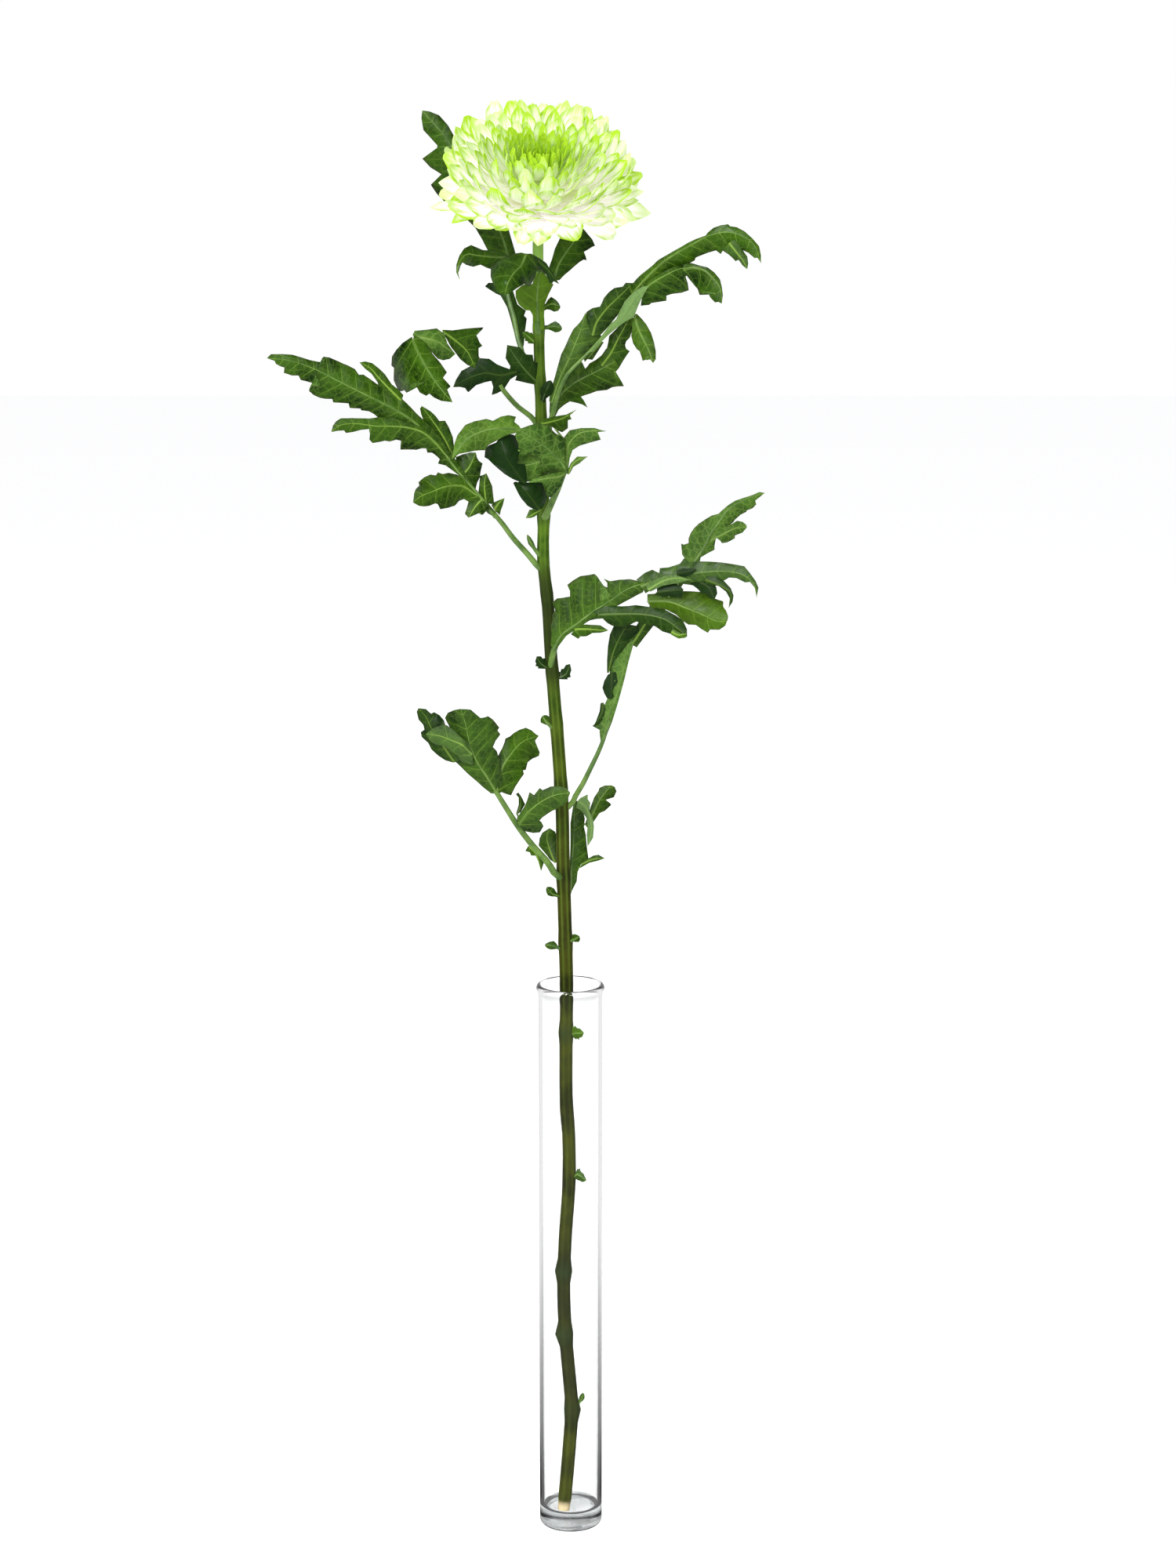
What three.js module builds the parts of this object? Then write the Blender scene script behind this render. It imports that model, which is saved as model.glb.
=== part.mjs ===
// A single long-stemmed chrysanthemum in a tall, narrow glass cylinder vase.
// Millimetres, +Z up, origin at the middle of the vase's foot, -Y towards the viewer.
import * as THREE from "three";

// Vase
const VASE_HEIGHT = 315;
const VASE_RADIUS = 17.5;
const VASE_WALL = 2;
const VASE_FLOOR = 10.5;
const HEEL_RADIUS = 3;
const RIM_RADIUS = 19;
const RIM_HEIGHT = 4;

// Stem
const STEM_LINE = [
  [-4, -9.5, 11.3], [-2.5, -8, 27], [-0.5, -5, 52], [0.5, -3, 70], [-1, 0, 89], [-3, 2, 112],
  [-4, 4, 139], [-3, 6, 168], [-1, 8, 197], [-1, 9, 224], [-2.5, 10, 247], [-2.5, 10.6, 280],
  [-2.2, 11, 312], [-3, 13.5, 345], [-4, 15, 380], [-4.5, 15, 411], [-6.5, 15, 444], [-8.5, 15, 470],
  [-10.5, 14, 498], [-12, 14, 524], [-14.4, 13, 548], [-14.1, 12, 574], [-14.7, 10, 601],
  [-15.4, 8, 631], [-16.2, 6, 661], [-16.5, 4.2, 690], [-16.6, 1.8, 719], [-16, -3.5, 738],
];
const STEM_RINGS = [30, 52, 90, 130, 170, 220, 262, 310, 350, 395, 600, 700, 722];
const STEM_SIDES = 10;
const STEM_FOOT_RADIUS = 3.3;
const STEM_RADIUS = 3.5;
const STEM_NECK_RADIUS = 2.8;
const STEM_FOOT_TAPER = 60;
const STEM_TAPER_FROM = 420;
const STEM_TOP = 738;
const NODE_HEIGHTS = [70, 112, 148, 202, 238, 284, 333, 369, 419, 455, 489, 527, 548, 574, 621, 643, 672];
const NODE_SWELL = 0.7;
const NODE_LENGTH = 3.5;

// Leaves
const PETIOLE_HALF_WIDTH = 1.4;
const PETIOLE_THICKNESS = 2.4;
const BLADE_THICKNESS = 0.9;
const SEAT_GAP = 0.35;
const STATION_GAP = 2.6;
const PLAIN_CURL = -10;
const LOBE_FAN = 15;

// Flower head
const HEAD_TILT = 28;
const HEAD_LEAN = 2.5;
const HEAD_GAP = 0.6;
const FLORET_THICKNESS = 1;
const RIM_FLORETS = 14;

const degrees = THREE.MathUtils.degToRad;
const point = ([x, y, z]) => new THREE.Vector3(x, y, z);
const matt = (color, roughness) => new THREE.MeshStandardMaterial({ color, roughness, metalness: 0 });
const glass = new THREE.MeshStandardMaterial({
  color: 0xf4f8f8, roughness: 0.03, metalness: 0, transparent: true, opacity: 0.3,
});
const stemGreen = matt(0x5f8a35, 0.55);
const leafGreen = matt(0x2f5f2a, 0.5);
const paleLeafGreen = matt(0x6b8f5a, 0.65);
const petalWhite = matt(0xf2f6e4, 0.6);
const petalLime = matt(0xb6dc4a, 0.6);
const tuftGreen = matt(0x8fc02c, 0.6);

const model = new THREE.Group();

function addMesh(name, geometry, material, parent = model) {
  const mesh = new THREE.Mesh(geometry, material);
  mesh.name = name;
  parent.add(mesh);
}

// A solid of revolution about +Z from [radius, height] pairs
function turned(pairs, segments) {
  const profile = pairs.map(([radius, height]) => new THREE.Vector2(radius, height));
  return new THREE.LatheGeometry(profile, segments).rotateX(Math.PI / 2);
}

// Vase: plain cylinder, thick base, rounded heel and a rolled, slightly flared rim
function vaseGeometry() {
  const inner = VASE_RADIUS - VASE_WALL;
  const rimMiddle = (RIM_RADIUS + inner) / 2;
  const heel = [0, 30, 60, 90].map((angle) => [
    VASE_RADIUS - HEEL_RADIUS + HEEL_RADIUS * Math.sin(degrees(angle)),
    HEEL_RADIUS - HEEL_RADIUS * Math.cos(degrees(angle)),
  ]);
  return turned([
    [0, 0],
    ...heel,
    [VASE_RADIUS, VASE_HEIGHT - 2 * RIM_HEIGHT],
    [RIM_RADIUS, VASE_HEIGHT - RIM_HEIGHT / 2],
    [rimMiddle, VASE_HEIGHT],
    [inner + 0.5, VASE_HEIGHT - RIM_HEIGHT / 2],
    [inner, VASE_HEIGHT - 2 * RIM_HEIGHT],
    [inner, VASE_FLOOR + 2],
    [inner - 1.5, VASE_FLOOR],
    [0, VASE_FLOOR],
  ], 40);
}

const stemCurve = new THREE.CatmullRomCurve3(STEM_LINE.map(point));

// The curve parameter where the stem passes a height
function stemParameter(height) {
  let low = 0;
  let high = 1;
  for (let step = 0; step < 30; step++) {
    const middle = (low + high) / 2;
    if (stemCurve.getPoint(middle).z < height) low = middle;
    else high = middle;
  }
  return low;
}

function stemRadius(height) {
  const foot = Math.min(height / STEM_FOOT_TAPER, 1);
  const neck = THREE.MathUtils.smoothstep(height, STEM_TAPER_FROM, STEM_TOP);
  let radius = THREE.MathUtils.lerp(STEM_FOOT_RADIUS, STEM_RADIUS, foot);
  radius = THREE.MathUtils.lerp(radius, STEM_NECK_RADIUS, neck);
  for (const node of NODE_HEIGHTS)
    radius += NODE_SWELL * Math.max(0, 1 - Math.abs(height - node) / NODE_LENGTH);
  return radius;
}

// Stem: one round stalk with a swelling at each node, its rings at the nodes and beside them
function stemGeometry() {
  const foot = STEM_LINE[0][2];
  const nodeRings = NODE_HEIGHTS.flatMap((node) => [node - NODE_LENGTH, node, node + NODE_LENGTH]);
  const heights = [foot, ...STEM_RINGS, STEM_TOP, ...nodeRings];
  heights.sort((a, b) => a - b);
  const geometry = new THREE.CylinderGeometry(1, 1, 1, STEM_SIDES, heights.length - 1);
  const place = geometry.getAttribute("position");
  for (let i = 0; i < place.count; i++) {
    const height = heights[Math.round((place.getY(i) + 0.5) * (heights.length - 1))];
    const parameter = stemParameter(height);
    const along = stemCurve.getTangent(parameter);
    const right = new THREE.Vector3(1, 0, 0).addScaledVector(along, -along.x).normalize();
    const back = along.clone().cross(right);
    const vertex = stemCurve.getPoint(parameter);
    vertex.addScaledVector(right, place.getX(i) * stemRadius(height));
    vertex.addScaledVector(back, -place.getZ(i) * stemRadius(height));
    place.setXYZ(i, vertex.x, vertex.y, vertex.z);
  }
  return geometry;
}

// Where a petiole starts: beside the stem at its node, so far out that its end face clears the stem
function seat(leaf) {
  const centre = stemCurve.getPoint(stemParameter(leaf.node));
  const next = point(leaf.rib[0]);
  const outward = next.clone().sub(centre).setZ(0).normalize();
  const start = centre.clone();
  for (let round = 0; round < 3; round++) {
    const along = next.clone().sub(start).normalize();
    const up = point(leaf.face[0]);
    up.addScaledVector(along, -up.dot(along)).normalize();
    const right = along.clone().cross(up);
    const thick = up.dot(outward) * (PETIOLE_THICKNESS / 2);
    const wide = right.dot(outward) * PETIOLE_HALF_WIDTH;
    const clearance = stemRadius(leaf.node) + SEAT_GAP + Math.hypot(thick, wide);
    start.copy(centre).addScaledVector(outward, clearance);
  }
  return start;
}

// Shares of the midrib where a lobe starts, peaks and ends, thinned where they crowd
function bladeStations(leaf, length) {
  const shares = [0, leaf.bare * 0.5, leaf.bare, 1];
  for (const [at, , halfWidth] of [...leaf.left, ...leaf.right]) {
    const flank = (0.75 * halfWidth) / length;
    shares.push(at - flank, at, at + flank);
  }
  shares.sort((a, b) => a - b);
  const inside = shares.filter((share) => share >= 0 && share <= 1);
  const least = STATION_GAP / length;
  return inside.filter((share, i) => {
    if (i === 0 || share === 1) return true;
    return share - inside[i - 1] > least && share < 1 - least;
  });
}

// Reach, sweep and curl of one half of the blade at a share of the midrib
function bladeHalf(leaf, lobes, share, length) {
  const blade = (share - leaf.bare) / (1 - leaf.bare);
  const web = blade < 0 ? 0 : leaf.web * Math.min(1, blade / 0.05, (1 - blade) / 0.1);
  const before = lobes.findLast((lobe) => lobe[0] <= share) ?? lobes[0];
  const after = lobes.find((lobe) => lobe[0] > share) ?? before;
  const between = after === before ? 0 : (share - before[0]) / (after[0] - before[0]);
  const petiole = PETIOLE_HALF_WIDTH * THREE.MathUtils.lerp(1, 0.3, share);
  const sweep = THREE.MathUtils.lerp(before[3], after[3], THREE.MathUtils.clamp(between, 0, 1));
  const found = {
    reach: Math.max(web, petiole),
    sweep: sweep * Math.min(1, share / leaf.bare),
    curl: PLAIN_CURL,
  };
  for (const [at, reach, halfWidth, lobeSweep, curl] of lobes) {
    const across = ((share - at) * length) / halfWidth;
    if (Math.abs(across) >= 1) continue;
    const edge = reach * Math.pow(1 - Math.pow(Math.abs(across), 2.2), 0.6);
    if (edge > found.reach)
      Object.assign(found, { reach: edge, sweep: lobeSweep + LOBE_FAN * across, curl });
  }
  return found;
}

// Leaf: a closed sheet bent along its midrib, with swept lobes left and right of it
function leafGeometry(leaf) {
  const ribPoints = [seat(leaf), ...leaf.rib.map(point)];
  const rib = new THREE.CatmullRomCurve3(ribPoints, false, "catmullrom", 0.5);
  const face = new THREE.CatmullRomCurve3(leaf.face.map(point), false, "catmullrom", 0.5);
  const length = rib.getLength();
  const stations = bladeStations(leaf, length);
  const columns = leaf.columns ?? 4;
  const geometry = new THREE.BoxGeometry(1, 1, 1, stations.length - 1, columns, 1);
  const place = geometry.getAttribute("position");
  for (let i = 0; i < place.count; i++) {
    const share = stations[Math.round((place.getX(i) + 0.5) * (stations.length - 1))];
    const outward = place.getY(i) * -2;
    const t = rib.getUtoTmapping(share);
    const along = rib.getTangent(t);
    const up = face.getPoint(t);
    up.addScaledVector(along, -up.dot(along)).normalize();
    const right = along.clone().cross(up);
    const lobes = outward < 0 ? leaf.left : leaf.right;
    const half = bladeHalf(leaf, lobes, share, length);
    const sweep = degrees(half.sweep);
    const across = right.multiplyScalar(outward < 0 ? -Math.cos(sweep) : Math.cos(sweep));
    across.addScaledVector(along, Math.sin(sweep));
    const q = Math.abs(outward);
    const bow = degrees(half.curl);
    const fold = degrees(leaf.fold);
    const lean = fold + bow * q;
    const vertex = rib.getPoint(t);
    vertex.addScaledVector(across, (half.reach * (Math.sin(lean) - Math.sin(fold))) / bow);
    vertex.addScaledVector(up, (half.reach * (Math.cos(fold) - Math.cos(lean))) / bow);
    const rootward = THREE.MathUtils.lerp(PETIOLE_THICKNESS, BLADE_THICKNESS, Math.sqrt(share));
    const thickness = THREE.MathUtils.lerp(rootward, BLADE_THICKNESS * 0.8, q);
    const normal = up.clone().multiplyScalar(Math.cos(lean)).addScaledVector(across, -Math.sin(lean));
    if (q === 0) normal.copy(up);
    vertex.addScaledVector(normal, place.getZ(i) * thickness);
    place.setXYZ(i, vertex.x, vertex.y, vertex.z);
  }
  return geometry;
}

// The grown leaves. rib: midrib points after the petiole's start. face: which way the upper side looks,
// start included. Lobes: share of the midrib, reach, half width, sweep and curl in degrees.
const LEAVES = [
  {
    name: "leaf_left_long", node: 548, bare: 0.16, fold: 8, web: 6,
    rib: [[-36, 4, 570], [-59, -8, 598], [-81, -18, 628], [-112, -27, 646], [-158, -38, 663]],
    face: [
      [0.3, -0.6, 0.6], [0.2, -0.8, 0.5], [0.1, -0.9, 0.4], [0.1, -0.9, 0.35], [0, -0.9, 0.45],
      [0, -0.8, 0.6],
    ],
    left: [
      [0.16, 8, 4, 70, -10], [0.21, 14, 6, 30, -20], [0.29, 37, 9, 37, -10], [0.38, 14, 7, 54, -10],
      [0.42, 30, 8, 47, -10], [0.48, 36, 8, 37, -10], [0.56, 47, 9, 45, -10], [0.69, 36, 8, 68, -10],
      [0.8, 29, 8, 76, -5],
    ],
    right: [
      [0.15, 12, 4, 40, -10], [0.19, 20, 6, 60, -20], [0.25, 24, 7, 48, -20], [0.33, 31, 8, 64, -30],
      [0.48, 15, 7, 68, -20], [0.58, 37, 9, 77, -20], [0.71, 28, 8, 73, -10], [0.86, 14, 7, 67, -10],
    ],
  },
  {
    name: "leaf_left_curled", node: 621, bare: 0.28, fold: 8, web: 7,
    rib: [[-30, 2, 635], [-46, -6, 652], [-69, -16, 666], [-83, -26, 670], [-78, -34, 657], [-61, -36, 639]],
    face: [
      [0.4, -0.4, 0.7], [0.4, -0.5, 0.7], [0.3, -0.5, 0.75], [0.1, -0.5, 0.85], [-0.6, -0.5, 0.6],
      [-0.5, -0.85, 0.2], [-0.4, -0.9, 0],
    ],
    left: [
      [0.22, 12, 7, 26, -20], [0.35, 34, 8, 25, -20], [0.44, 20, 7, 21, -20], [0.76, 16, 7, 42, -30],
      [0.84, 14, 7, 54, -20],
    ],
    right: [
      [0.27, 32, 6, -30, -20], [0.35, 34, 8, 4, -20], [0.46, 23, 8, 10, -20], [0.74, 12, 7, -27, -30],
      [0.79, 20, 8, -12, -30], [0.88, 22, 7, -16, -30], [0.92, 14, 6, -38, -30],
    ],
  },
  {
    name: "leaf_front_centre", node: 574, bare: 0.12, fold: 10, web: 7,
    rib: [[-6, -2, 587], [-3, -12, 599], [-9, -24, 613], [-29, -36, 623], [-61, -42, 611]],
    face: [
      [-0.5, 0.7, 0.5], [-0.3, 0.7, 0.6], [-0.1, 0.9, 0.4], [0, 0.95, 0.3], [0.1, 0.9, 0.3],
      [-0.3, 0.8, 0.4],
    ],
    left: [
      [0.21, 23, 6, 69, -10], [0.29, 29, 7, 42, -10], [0.34, 31, 7, 32, -10], [0.43, 30, 8, 44, -20],
      [0.54, 12, 9, 28, -20], [0.72, 10, 9, -17, -20], [0.85, 10, 8, -2, -20],
    ],
    right: [[0.13, 22, 8, -50, 30], [0.23, 34, 9, -16, 30], [0.49, 27, 9, -18, 20], [0.72, 24, 8, 37, 20]],
  },
  {
    name: "leaf_right_long", node: 643, bare: 0.06, fold: 10, web: 6,
    rib: [[0, 2, 654], [16, -4, 675], [36, -12, 697], [57, -20, 717], [77, -28, 727], [100, -34, 712]],
    face: [
      [-0.4, -0.8, 0.5], [-0.4, -0.8, 0.5], [-0.4, -0.8, 0.5], [-0.35, -0.8, 0.5], [-0.3, -0.8, 0.6],
      [0, -0.8, 0.6], [0.5, -0.8, 0.3],
    ],
    left: [
      [0.08, 20, 7, 48, -20], [0.18, 24, 8, 51, -20], [0.34, 18, 8, 61, -20], [0.48, 18, 8, 80, -20],
      [0.6, 16, 7, 84, -20], [0.72, 14, 7, 84, -20], [0.85, 11, 6, 50, -20],
    ],
    right: [
      [0.12, 14, 9, 50, 150], [0.24, 20, 10, 55, 150], [0.34, 14, 8, 55, 150], [0.43, 27, 10, 42, -15],
      [0.52, 33, 8, 33, -15], [0.57, 48, 9, 26, -20], [0.73, 22, 6, 39, -20], [0.8, 36, 6, 39, -20],
    ],
  },
  {
    name: "leaf_right_yellowish", node: 627, bare: 0.12, fold: 8, web: 7,
    rib: [[-8, 16, 635], [-2, 20, 652], [6, 22, 665], [26, 20, 678], [45, 12, 655]],
    face: [
      [-0.3, -0.8, 0.5], [-0.3, -0.8, 0.5], [-0.2, -0.9, 0.4], [-0.1, -0.9, 0.4], [0, -0.9, 0.4],
      [0.5, -0.9, 0.1],
    ],
    left: [[0.3, 22, 7, 80, -10], [0.47, 18, 8, 80, -10], [0.7, 14, 7, 65, -10]],
    right: [
      [0.08, 20, 6, 9, -10], [0.18, 38, 9, 14, -10], [0.33, 17, 8, 32, -10], [0.47, 20, 7, 4, -10],
      [0.68, 19, 8, 13, -10], [0.8, 14, 6, 54, -10],
    ],
  },
  {
    name: "leaf_under_flower_back", node: 687, bare: 0.2, fold: 8, web: 5,
    rib: [[-10, 20, 700], [-4, 26, 710], [3, 30, 719], [8, 33, 726]],
    face: [[-0.5, -0.6, 0.6], [-0.4, -0.7, 0.5], [-0.3, -0.8, 0.5], [-0.2, -0.8, 0.5], [-0.2, -0.8, 0.5]],
    left: [[0.39, 13, 7, 58, -10], [0.57, 12, 8, 55, -10], [0.74, 10, 7, 69, -10]],
    right: [[0.39, 10, 7, -17, -10], [0.59, 14, 7, 15, -10], [0.78, 13, 7, 18, -10]],
  },
  {
    name: "leaf_under_flower_domed", node: 672, bare: 0.25, fold: 6, web: 7,
    rib: [[-15, -10, 689], [-17, -20, 706], [-24, -30, 715], [-30, -37, 705], [-35, -36, 695]],
    face: [
      [0.1, 0.5, 0.8], [0, 0.5, 0.8], [-0.1, 0.1, 0.95], [-0.3, -0.4, 0.8], [-0.3, -0.95, 0.2],
      [-0.2, -0.95, 0],
    ],
    left: [[0.32, 11, 8, 25, -30], [0.54, 16, 10, 22, -40], [0.7, 20, 9, 24, -40], [0.86, 9, 7, 15, -30]],
    right: [[0.3, 12, 8, -40, -20], [0.6, 15, 9, 21, -30], [0.75, 17, 9, 20, -40], [0.87, 10, 8, 56, -30]],
  },
  {
    name: "leaf_behind_flower", node: 652, bare: 0.1, fold: 10, web: 5,
    rib: [[-27, 16, 666], [-32, 26, 689], [-40, 34, 714], [-51, 46, 741], [-66, 55, 769], [-79, 58, 785]],
    face: [
      [-0.3, -0.8, 0.5], [-0.3, -0.8, 0.5], [-0.1, -0.9, 0.4], [0, -0.9, 0.4], [0.1, -0.9, 0.4],
      [0.1, -0.9, 0.4], [0.1, -0.8, 0.5],
    ],
    left: [
      [0.21, 20, 7, 51, -20], [0.31, 31, 8, 29, -60], [0.46, 19, 7, 0, -30], [0.55, 9, 7, -10, -20],
      [0.68, 20, 9, 8, -10], [0.74, 24, 9, 38, -10], [0.93, 9, 6, 67, -10],
    ],
    right: [
      [0.08, 14, 7, 53, -20], [0.22, 10, 6, 80, -10], [0.37, 10, 7, 60, -10], [0.55, 10, 8, 11, -10],
      [0.68, 8, 8, 23, -5], [0.8, 10, 7, 53, -5], [0.9, 10, 6, 59, -5],
    ],
  },
  {
    name: "leaf_right_arching", node: 489, bare: 0.1, fold: 8, web: 5,
    rib: [[-2, 1, 511], [16, -6, 524], [41, -14, 540], [64, -20, 550], [85, -25, 551], [99, -30, 537]],
    face: [
      [0.1, -1, 0.1], [0.1, -1, 0.1], [-0.1, -0.95, 0.25], [-0.2, -0.8, 0.6], [-0.1, -0.7, 0.7],
      [0.1, -0.7, 0.6], [0.6, -0.8, 0.2],
    ],
    left: [
      [0.11, 15, 7, 35, -10], [0.18, 19, 7, 0, -10], [0.24, 22, 9, 19, -10], [0.36, 16, 7, 14, -10],
      [0.44, 8, 6, 14, -20], [0.53, 9, 6, 54, -20], [0.65, 8, 6, 62, -20], [0.79, 8, 6, 80, -20],
    ],
    right: [
      [0.12, 26, 6, 51, -10], [0.26, 54, 10, 49, -20], [0.57, 17, 7, -5, -20], [0.64, 30, 8, 38, -30],
      [0.77, 28, 6, 25, -40],
    ],
  },
  {
    name: "leaf_right_longest", node: 419, bare: 0.22, fold: 10, web: 5,
    rib: [
      [15, 11, 442], [25, 9, 469], [34, 7, 505], [50, 9, 529], [66, 12, 548], [84, 15, 568], [105, 18, 583],
    ],
    face: [
      [-0.5, 0.5, 0.7], [-0.5, 0.6, 0.6], [-0.5, 0.7, 0.5], [-0.4, 0.8, 0.4], [-0.3, 0.8, 0.4],
      [-0.3, 0.8, 0.4], [-0.3, 0.8, 0.4], [-0.3, 0.8, 0.4],
    ],
    left: [
      [0.39, 15, 7, 60, -5], [0.49, 67, 13, 23, -5], [0.61, 24, 8, 34, -5], [0.74, 30, 7, 57, -5],
      [0.8, 27, 6, 52, -5],
    ],
    right: [
      [0.18, 13, 5, 27, -5], [0.24, 12, 6, 35, -5], [0.32, 12, 7, 15, -5], [0.4, 10, 7, -17, -20],
      [0.63, 10, 7, 28, -5], [0.74, 12, 7, 14, -5], [0.8, 13, 7, 40, -5], [0.9, 8, 6, 48, -5],
    ],
  },
  {
    name: "leaf_left_low", node: 369, bare: 0.3, fold: 8, web: 8,
    rib: [[-20, 4, 391], [-33, -6, 411], [-44, -13, 429], [-52, -18, 449], [-57, -22, 473]],
    face: [
      [0.5, 0.5, 0.7], [0.5, 0.6, 0.6], [0.4, 0.7, 0.5], [0.3, 0.8, 0.4], [0.3, 0.8, 0.4], [0.3, 0.8, 0.4],
    ],
    left: [[0.33, 51, 9, 27, -5], [0.53, 52, 10, 33, -5], [0.68, 26, 9, 45, -5], [0.84, 17, 9, 54, -5]],
    right: [[0.62, 25, 10, 47, -5], [0.7, 40, 12, 38, 10], [0.78, 44, 7, 32, 30], [0.84, 20, 9, 37, -5]],
  },
  {
    name: "leaf_low_back", node: 358, bare: 0.1, fold: 6, web: 6,
    rib: [[1, 26, 373], [2, 34, 389], [1, 40, 403], [-2, 44, 416]],
    face: [[0, -0.9, 0.3], [0, -0.9, 0.4], [0, -0.9, 0.4], [0, -0.9, 0.4], [0, -0.9, 0.4]],
    left: [[0.23, 18, 6, -8, -10], [0.41, 26, 7, -2, -10], [0.59, 20, 7, 22, -10], [0.77, 13, 7, 50, -10]],
    right: [[0.14, 22, 5, 46, -10], [0.38, 16, 7, 47, -10], [0.56, 16, 6, 45, -10], [0.63, 30, 7, 37, -10]],
  },
];

// Small leaflets, stipules and stubs at the nodes: a short rib with one lobe each side.
// tip and middle are points of the rib, width is the half width in the middle.
const SMALL_LEAVES = [
  { name: "leaflet_neck_right", node: 674, middle: [-8.5, 2, 675], tip: [-4, 1, 674], width: 3 },
  { name: "leaflet_neck_upper", node: 684, middle: [-10, 1, 687], tip: [-5, -1, 686], width: 4 },
  { name: "leaflet_neck_left", node: 666, middle: [-21.5, 4, 669], tip: [-25, 3, 672], width: 3 },
  { name: "leaflet_toothed_left", node: 645, middle: [-25, -2, 654], tip: [-33, -6, 666], width: 8 },
  { name: "stipule_dark_right", node: 634, middle: [-13, -1, 640], tip: [-10, -3, 647], width: 3.5 },
  { name: "stub_petiole_left", node: 551, middle: [-20.5, 8, 557], tip: [-23, 6, 563], width: 1.5 },
  { name: "stipule_middle_left", node: 489, middle: [-16, 10, 492], tip: [-18, 8, 496], width: 3.5 },
  { name: "stipule_middle_right", node: 483, middle: [-2.5, 14, 485], tip: [0, 13, 491], width: 3.5 },
  { name: "bud_left", node: 456, middle: [-13.5, 11, 460], tip: [-15, 10, 463], width: 2.8 },
  { name: "stipule_low_left", node: 361, middle: [-10, 8, 364], tip: [-13, 6, 368], width: 2.6 },
  { name: "stub_above_rim_left", node: 332, middle: [-9, 9, 334], tip: [-14, 8, 335], width: 2.6 },
  { name: "stub_above_rim_right", node: 336, middle: [2.5, 9, 338], tip: [5, 7, 340], width: 2.8 },
  { name: "scrap_in_vase_upper", node: 284, middle: [3, 6.5, 287], tip: [6, 4, 290], width: 3 },
  { name: "scrap_in_vase_middle", node: 202, middle: [4, 5, 206], tip: [7, 3, 209], width: 2.8 },
  { name: "scrap_in_vase_low", node: 71, middle: [6, -4, 75], tip: [7, -4.5, 79], width: 1.6 },
];

function smallLeaf({ node, middle, tip, width }) {
  const lobe = [[0.55, width, width + 1.5, 25, -20]];
  const face = [0.1, -0.9, 0.4];
  return {
    node, rib: [middle, tip], face: [face, face, face], bare: 0.1, fold: 8, web: 1,
    left: lobe, right: lobe, columns: 2,
  };
}

// Flower head, in its own frame: +Z along the head's axis, from the top of the stem
const head = new THREE.Group();
const stemTop = stemCurve.getPoint(1);
head.rotation.set(degrees(HEAD_TILT), degrees(HEAD_LEAN), 0);
head.position.copy(new THREE.Vector3(0, 0, HEAD_GAP).applyEuler(head.rotation).add(stemTop));
model.add(head);

// Receptacle: the green cup under the florets and the core that carries them
const RECEPTACLE = [
  [0, 0], [2.6, 0], [7.5, 4.5], [8.2, 6.5], [7.6, 10], [6.4, 15], [4.8, 20], [3.4, 24], [0, 24.5],
];

// Tuft: the tight green florets in the middle, grown together with a shallow dish on top
const TUFT = [[0, 24.9], [3.2, 24.9], [6.5, 29], [10, 34], [13, 39], [10.5, 38.5], [6, 35.5], [0, 34]];

// Radius of the core's surface at a height along the axis
function coreRadius(height) {
  const above = RECEPTACLE.findIndex(([, at]) => at >= height);
  const [lowRadius, low] = RECEPTACLE[above - 1];
  const [highRadius, high] = RECEPTACLE[above];
  return THREE.MathUtils.lerp(lowRadius, highRadius, (height - low) / (high - low));
}

// Whorls of ray florets from the outer one in: seat height, middle, tip, florets, how deep their tips
// part, and how much higher the head stands at the back than at its sides
const WHORLS = [
  { seat: 9, middle: [33, 6], tip: [54, 9], florets: 18, notch: 0.22, slant: -6 },
  { seat: 11, middle: [33, 12], tip: [53, 18], florets: 19, notch: 0.22, slant: -2 },
  { seat: 13, middle: [31, 17], tip: [50, 26.5], florets: 18, notch: 0.2, slant: 1.5 },
  { seat: 15, middle: [28, 21.5], tip: [45.5, 34.5], florets: 17, notch: 0.2, slant: 3.3 },
  { seat: 17, middle: [24, 25.5], tip: [38, 38], florets: 15, notch: 0.2, slant: 2.7 },
  { seat: 19, middle: [18.5, 29], tip: [30, 39.5], florets: 13, notch: 0.18, slant: 0.6 },
  { seat: 21, middle: [13, 31], tip: [21.5, 40], florets: 11, notch: 0.15, slant: -1.2 },
];

// The line from the core to a floret's tip, in the plane of the axis
function floretLine(seatHeight, middle, tip) {
  const start = new THREE.Vector2(coreRadius(seatHeight) + SEAT_GAP, seatHeight);
  return new THREE.QuadraticBezierCurve(start, new THREE.Vector2(...middle), new THREE.Vector2(...tip));
}

// Whorl: florets grown together as one lobed bowl, a revolved sheet whose edge is drawn in between the tips
function whorlGeometry({ seat: seatHeight, middle, tip, florets, notch, slant }) {
  const line = floretLine(seatHeight, middle, tip);
  const stops = [0, 0.4, 0.75, 1];
  const lower = stops.map((q) => [q, 0]);
  const upper = stops.toReversed().map((q) => [q, FLORET_THICKNESS]);
  const sheet = [...lower, ...upper, [0, 0]];
  const geometry = turned(sheet.map(([q, lift]) => [1 + q, lift]), florets * 2);
  const place = geometry.getAttribute("position");
  for (let i = 0; i < place.count; i++) {
    const spoke = Math.floor(i / sheet.length);
    const [q, lift] = sheet[i % sheet.length];
    const share = spoke % 2 ? q * (1 - notch) : q;
    const angle = (spoke / (florets * 2)) * Math.PI * 2;
    const { x: radius, y: height } = line.getPoint(share);
    const raised = slant * share ** 2 * Math.sin(angle);
    place.setXYZ(i, radius * Math.cos(angle), radius * Math.sin(angle), height + lift + raised);
  }
  return geometry;
}

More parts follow.
